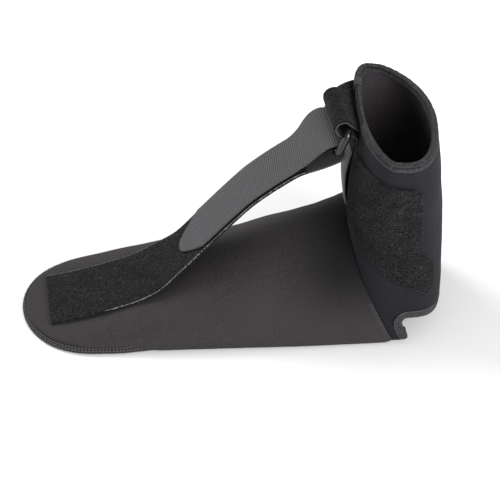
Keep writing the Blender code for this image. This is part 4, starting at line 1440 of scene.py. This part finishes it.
def tab_skins(low_share, high_share, columns, side_trim=0.0):
    """Two skins of one ply of the tab; shares run from its inner to its outer face."""
    inner, outer = [], []
    for point, normal, across, root in tab_stations():
        width = TAB_WIDTH + (TAB_ROOT_WIDTH - TAB_WIDTH) * root - 2 * side_trim
        shift = TAB_SHIFT + (TAB_ROOT_SHIFT - TAB_SHIFT) * root
        across = across.normalized()
        row_in, row_out = [], []
        for side in spread(-1.0, 1.0, columns):
            place = point + across * (side * width / 2 + shift)
            place.x += root * front_bend(place.y, place.z)
            row_in.append(place + normal * TAB_THICKNESS * (0.5 - low_share))
            row_out.append(place + normal * TAB_THICKNESS * (0.5 - high_share))
        inner.append(row_in)
        outer.append(row_out)
    return grid(outer), grid(inner)


def make_tab(sizes, finish, backing_finish):
    outer, inner = tab_skins(0.42, 0.95, 60)
    raised, tuft = pile_up(outer, inner, sizes.pile * 0.9, 41)
    pile = shell("ring_tab_pile", raised, inner, finish, facts={"tuft": tuft}, bulge=0.8)
    outer, inner = tab_skins(0.0, 0.40, 30, -0.0003)
    backing = shell("ring_tab_backing", outer, inner, backing_finish, bulge=0.9)
    return pile, backing


def make_front_tape(finish):
    low = INSTEP_HEIGHT + FRONT_TAPE_START
    top = curl_centre().z - TAB_LOW_ROOT - FRONT_TAPE_TOP_DROP
    outer, inner = [], []
    for z in spread(low, top, 60):
        bow = FRONT_TAPE_BOW * math.sin(math.pi * (z - low) / (top - low))
        row_in, row_out = [], []
        for y in spread(-0.30 * FRONT_TAPE_WIDTH, 0.5 * FRONT_TAPE_WIDTH, 21):
            x = cuff_point(0.0, z, FRONT_PANEL_INSET).x + front_bend(y, z)
            near = Vector((x - LAY_GAP - bow, y, z))
            row_in.append(near)
            row_out.append(near - Vector((FRONT_TAPE_THICKNESS * 0.85, 0, 0)))
        inner.append(row_in)
        outer.append(row_out)
    return shell("front_webbing", grid(outer), grid(inner), finish, bulge=0.8)


# Settings a user would change


class ClothSizes(bpy.types.PropertyGroup):
    """Sizes of the cloth's surface."""

    softness: bpy.props.FloatProperty(
        name="Softness", description="How far the panels dent and swell", default=1.0, min=0.0, max=3.0
    )
    gauge: bpy.props.FloatProperty(
        name="Knit gauge", description="Width of one wale of the knit", default=0.0007, unit="LENGTH"
    )
    pile: bpy.props.FloatProperty(
        name="Pile height", description="How far the loops rise and fall", default=0.00042, unit="LENGTH"
    )
    rib_pitch: bpy.props.FloatProperty(
        name="Rib pitch", description="Distance between the hook tape's ribs", default=0.0016, unit="LENGTH"
    )
    rib: bpy.props.FloatProperty(
        name="Rib radius", description="Radius of one rib", default=0.00035, unit="LENGTH"
    )
    thread: bpy.props.FloatProperty(
        name="Thread radius", description="Radius of the sewing thread", default=0.00022, unit="LENGTH"
    )
    fuzz: bpy.props.FloatProperty(
        name="Binding fuzz", description="Unevenness of the bindings", default=0.00032, unit="LENGTH"
    )


def colour_setting(name, description, default):
    return bpy.props.FloatVectorProperty(
        name=name, description=description, default=default, subtype="COLOR", size=3, min=0.0, max=1.0
    )


class ClothColours(bpy.types.PropertyGroup):
    """Colours of the cloth, tapes and ring."""

    foot: colour_setting("Foot knit", "Outside of the foot sleeve", (0.0300, 0.0268, 0.0285))
    cuff: colour_setting("Cuff knit", "Outside of the leg cuff", (0.0090, 0.0086, 0.0120))
    lining: colour_setting("Lining", "Inside of foot and cuff", (0.031, 0.0265, 0.030))
    pile_dark: colour_setting("Pile ground", "Ground between the loops", (0.0012, 0.0012, 0.0014))
    pile_light: colour_setting("Pile tops", "Tops of the loops", (0.040, 0.040, 0.042))
    binding: colour_setting("Binding", "Edge bindings", (0.021, 0.0205, 0.022))
    tape: colour_setting("Hook tape", "Ribbed hook tape", (0.060, 0.058, 0.062))
    front: colour_setting("Front tape", "Tape down the cuff's front", (0.135, 0.130, 0.135))
    edge: colour_setting("Cut edges", "Selvedges and the tab's backing", (0.16, 0.16, 0.165))
    ring: colour_setting("Ring", "Plastic ring", (0.004, 0.004, 0.0045))
    thread: colour_setting("Thread", "Sewing thread", (0.085, 0.083, 0.085))


class StudioSettings(bpy.types.PropertyGroup):
    """Camera and light."""

    azimuth: bpy.props.FloatProperty(
        name="Azimuth", description="Camera's turn round the object",
        default=math.radians(-5), subtype="ANGLE",
    )
    elevation: bpy.props.FloatProperty(
        name="Elevation", description="Camera's height over the level",
        default=math.radians(40), subtype="ANGLE",
    )
    distance: bpy.props.FloatProperty(
        name="Distance", description="Camera to the object's middle", default=6.0, unit="LENGTH"
    )
    field: bpy.props.FloatProperty(
        name="Field", description="Width of the view at the object", default=0.347, unit="LENGTH"
    )
    ambient: bpy.props.FloatProperty(name="Ambient", description="Light from all round", default=0.5)
    key: bpy.props.FloatProperty(name="Key light", description="Watts of the light in front", default=44.0)
    back: bpy.props.FloatProperty(
        name="Back light", description="Watts of the light behind the toe", default=40.0
    )


# Operators


def settings(context):
    scene = context.scene
    return scene.cloth_sizes, scene.cloth_colours, scene.studio_settings


class FootOperator(bpy.types.Operator):
    """Make the foot sleeve and its sole"""

    bl_idname = "splint.foot"
    bl_label = "Foot sleeve and sole"

    def execute(self, context):
        sizes, colours, _ = settings(context)
        finish = knit_finish("foot_knit", tuple(colours.foot), tuple(colours.lining), sizes.gauge, 0.42)
        finish_piece(make_foot(sizes, finish), ("upper_panel",))
        finish_piece(make_sole(finish), ("sole_panel",))
        return {"FINISHED"}


class CuffOperator(bpy.types.Operator):
    """Make the leg cuff's two panels"""

    bl_idname = "splint.cuff"
    bl_label = "Leg cuff"

    def execute(self, context):
        sizes, colours, _ = settings(context)
        finish = knit_finish("cuff_knit", tuple(colours.cuff), tuple(colours.lining), sizes.gauge, 0.42)
        finish_piece(make_cuff(sizes, finish), ("cuff_main",))
        finish_piece(make_cuff_front(finish), ("cuff_front",))
        return {"FINISHED"}


class BindingOperator(bpy.types.Operator):
    """Make the bindings of the cuff's top and the heel opening"""

    bl_idname = "splint.bindings"
    bl_label = "Edge bindings"

    def execute(self, context):
        sizes, colours, _ = settings(context)
        finish = binding_finish("binding_knit", tuple(colours.binding), BINDING_SHADE_FOLDS)
        plain = binding_finish("heel_knit", tuple(colours.binding))
        thread = thread_finish("edge_thread", shade(tuple(colours.thread), 0.7))
        bright = thread_finish("bright_thread", shade(tuple(colours.thread), 1.7))
        start, end = FRONT_PANEL_FAR, 2 * math.pi + FRONT_PANEL_NEAR
        stations = top_stations(spread(start, end, 420), 0.0, WALL)
        section = roll_section(WALL / 2 + BINDING_PLAY, BINDING_WIDTH, BINDING_WIDTH, 0.0026)
        top = make_roll("top_edge_binding", stations, section, sizes.fuzz, 51, finish)
        finish_piece(top, ("top_binding",))
        wrap = overlock(
            "top_edge_threads", stations[:16], section[1:-1], 0.0009, sizes.thread, 0.0006, thread
        )
        finish_piece(wrap)
        angles = spread(FRONT_PANEL_NEAR, FRONT_PANEL_FAR, 80)
        stations = top_stations(angles, FRONT_PANEL_INSET, FRONT_PANEL_WALL)
        half = FRONT_PANEL_WALL / 2 + FRONT_BINDING_PLAY
        section = roll_section(half, FRONT_BINDING_WIDTH, FRONT_BINDING_WIDTH, 0.0017)
        front = make_roll("front_edge_binding", stations, section, sizes.fuzz * 0.8, 53, finish)
        finish_piece(front, ("front_binding",))
        section = roll_section(WALL / 2 + HEEL_BAND_PLAY, HEEL_BAND_WIDTH, HEEL_BAND_INSIDE, 0.0009)
        for side, name in ((-1, "near"), (1, "far")):
            stations = band_stations(side)
            band = make_roll("heel_binding_" + name, stations, section, sizes.fuzz * 0.7, 57, plain)
            finish_piece(band)
            wrap = overlock(
                "heel_threads_" + name, stations, section[:-2], 0.0023, sizes.thread * 0.8, 0.0022, thread
            )
            finish_piece(wrap)
            line = [
                (middle + out * (WALL / 2 + 0.0007) - to_hole * HEEL_STITCH_LINE, out)
                for middle, out, to_hole in stations
            ]
            values = {"Spacing": 0.0018, "Length": 0.0013, "Thread radius": sizes.thread * 1.3, "Slant": 0.7}
            dots = run_tree("heel_stitches_" + name, stitch_tree(), [line], values, bright)
            finish_piece(dots)
        return {"FINISHED"}


class PileOperator(bpy.types.Operator):
    """Make the pieces with loop pile: patch, toe strap and ring tab"""

    bl_idname = "splint.pile"
    bl_label = "Loop pile pieces"

    def execute(self, context):
        sizes, colours, _ = settings(context)
        finish = pile_finish("loop_pile_knit", tuple(colours.pile_dark), tuple(colours.pile_light))
        edge = thread_finish("selvedge", tuple(colours.edge))
        backing = weave_finish("tab_backing", shade(tuple(colours.edge), 0.4), 0.0009, 0.2)
        finish_piece(make_patch(sizes, finish), ("cuff_loop_patch",))
        strap, rims = make_strap(sizes, finish, edge)
        finish_piece(strap, ("toe_strap",))
        finish_piece(rims)
        pile, ply = make_tab(sizes, finish, backing)
        finish_piece(pile, ("ring_tab",))
        finish_piece(ply)
        return {"FINISHED"}


class TapeOperator(bpy.types.Operator):
    """Make the ribbed hook tape and the tape down the cuff's front"""

    bl_idname = "splint.tapes"
    bl_label = "Hook tape and front tape"

    def execute(self, context):
        sizes, colours, _ = settings(context)
        finish = weave_finish("hook_weave", tuple(colours.tape), sizes.rib_pitch, 0.25)
        ribs_finish = thread_finish("hook_ribs", shade(tuple(colours.tape), 1.5))
        tape, ribs = make_tape(sizes, finish, ribs_finish)
        finish_piece(tape, ("hook_tape",))
        finish_piece(ribs)
        front = weave_finish("front_weave", tuple(colours.front), 0.0010, 0.18)
        finish_piece(make_front_tape(front), ("front_tape",))
        return {"FINISHED"}


class RingOperator(bpy.types.Operator):
    """Make the plastic ring"""

    bl_idname = "splint.ring"
    bl_label = "Ring"

    def execute(self, context):
        _, colours, _ = settings(context)
        finish = plastic_finish("ring_gloss", tuple(colours.ring))
        finish_piece(make_ring(finish), ("ring",))
        return {"FINISHED"}


def sole_edge_line(rise, out_by):
    """The toe's edge as (point, up) pairs, from one side round the tip to the other."""
    xs, halves = zip(*sole_half_widths())
    last = TOE_X + 0.085
    near = [(x, h) for x, h in zip(xs, halves) if x <= last]
    line = [(x, -h) for x, h in near[::-1]] + [(x, h) for x, h in near[1:]]
    points = [Vector((x, y, rise)) for x, y in line]
    result = []
    for k, point in enumerate(points):
        tangent = (points[min(k + 1, len(points) - 1)] - points[max(k - 1, 0)]).normalized()
        out = Vector((-tangent.y, tangent.x, 0))
        if out.dot(point - Vector((TOE_X + 0.05, 0, rise))) < 0:
            out = -out
        result.append((point + out * out_by, out))
    return result


class StitchOperator(bpy.types.Operator):
    """Sew the seams"""

    bl_idname = "splint.stitches"
    bl_label = "Stitches"

    def execute(self, context):
        sizes, colours, _ = settings(context)
        thread = thread_finish("seam_thread", shade(tuple(colours.thread), 1.3))
        radius = sizes.thread
        toe = [sole_edge_line(0.0030, 0.0003), sole_edge_line(SEAM_Z + 0.0001, -0.0007)]
        values = {"Spacing": 0.0024, "Length": 0.0019, "Thread radius": radius * 1.6, "Slant": 0.5}
        seam = run_tree("toe_seam_stitches", stitch_tree(), toe, values, thread)
        finish_piece(seam)
        ankle = []
        for shift, side in ((0.0004, -1), (0.0004, 1), (0.0020, -1), (0.0020, 1)):
            line = []
            for angle in spread(math.radians(64), SEAM_END_ANGLE * 0.995, 70):
                angle *= side
                place = seam_point(angle)
                out = (cuff_outward(angle, place.z) + Vector((0, 0, 0.4))).normalized()
                line.append((place + out * 0.0001 - Vector((shift, 0, 0)), out))
            ankle.append(line)
        values = {"Spacing": 0.0022, "Length": 0.0018, "Thread radius": radius * 0.8, "Slant": 0.35}
        seam = run_tree("ankle_seam_stitches", stitch_tree(), ankle, values, thread)
        finish_piece(seam)
        return {"FINISHED"}


class StageOperator(bpy.types.Operator):
    """Set the floor, the lights and the camera"""

    bl_idname = "splint.stage"
    bl_label = "Floor, light and camera"

    def execute(self, context):
        _, _, studio = settings(context)
        scene = context.scene
        mesh = bpy.data.meshes.new("floor")
        mesh.from_pydata([(-6, -6, 0), (6, -6, 0), (6, 6, 0), (-6, 6, 0)], [], [(0, 1, 2, 3)])
        material, recipe, shader = new_finish("studio_floor")
        set_shader(recipe, shader, Base_Color=(0.93, 0.93, 0.93), Roughness=0.9, Specular_IOR_Level=0.1)
        mesh.materials.append(material)
        floor = bpy.data.objects.new("floor", mesh)
        scene.collection.objects.link(floor)
        floor.location.z = -0.0004

        world = bpy.data.worlds.new("studio")
        scene.world = world
        world.use_nodes = True
        background = world.node_tree.nodes["Background"]
        background.inputs["Color"].default_value = (1.0, 1.0, 1.0, 1.0)
        background.inputs["Strength"].default_value = studio.ambient

        lights = (
            ("key", studio.key, 1.2, Vector((1.0, -1.5, 0.86))),
            ("back", studio.back, 1.2, Vector((-1.2, 1.0, 1.25))),
        )
        for name, power_watts, size, place in lights:
            lamp = bpy.data.lights.new(name, "AREA")
            lamp.energy = power_watts
            lamp.size = size
            light = bpy.data.objects.new(name, lamp)
            light.location = place
            light.rotation_euler = (-place).to_track_quat("-Z", "Y").to_euler()
            scene.collection.objects.link(light)

        target = Vector((0.012, 0.0, 0.045))
        level = math.cos(studio.elevation)
        away = Vector(
            (math.sin(studio.azimuth) * level, -math.cos(studio.azimuth) * level, math.sin(studio.elevation))
        )
        camera = bpy.data.cameras.new("camera")
        camera.sensor_width = 36.0
        camera.lens = 36.0 * studio.distance / studio.field
        camera.clip_end = 50.0
        view = bpy.data.objects.new("camera", camera)
        view.location = target + away * studio.distance
        view.rotation_euler = (-away).to_track_quat("-Z", "Y").to_euler()
        scene.collection.objects.link(view)
        scene.camera = view
        scene.view_settings.view_transform = "Standard"
        return {"FINISHED"}


STEPS = (
    StageOperator, FootOperator, CuffOperator, BindingOperator, PileOperator,
    TapeOperator, RingOperator, StitchOperator,
)


class SplintPanel(bpy.types.Panel):
    """The splint's settings and steps"""

    bl_idname = "SPLINT_PT_steps"
    bl_label = "Night splint"
    bl_space_type = "VIEW_3D"
    bl_region_type = "UI"
    bl_category = "Splint"

    def draw(self, context):
        layout = self.layout
        for group in settings(context):
            box = layout.box()
            for key in group.__annotations__:
                box.prop(group, key)
        for step in STEPS:
            layout.operator(step.bl_idname)


GROUPS = (
    ("cloth_sizes", ClothSizes),
    ("cloth_colours", ClothColours),
    ("studio_settings", StudioSettings),
)


def register():
    for _, group in GROUPS:
        bpy.utils.register_class(group)
    for step in STEPS:
        bpy.utils.register_class(step)
    bpy.utils.register_class(SplintPanel)
    for name, group in GROUPS:
        setattr(bpy.types.Scene, name, bpy.props.PointerProperty(type=group))


def unregister():
    for name, _ in GROUPS:
        delattr(bpy.types.Scene, name)
    bpy.utils.unregister_class(SplintPanel)
    for step in reversed(STEPS):
        bpy.utils.unregister_class(step)
    for _, group in reversed(GROUPS):
        bpy.utils.unregister_class(group)


def main():
    register()
    for step in STEPS:
        family, action = step.bl_idname.split(".")
        getattr(getattr(bpy.ops, family), action)()


if __name__ == "__main__":
    main()
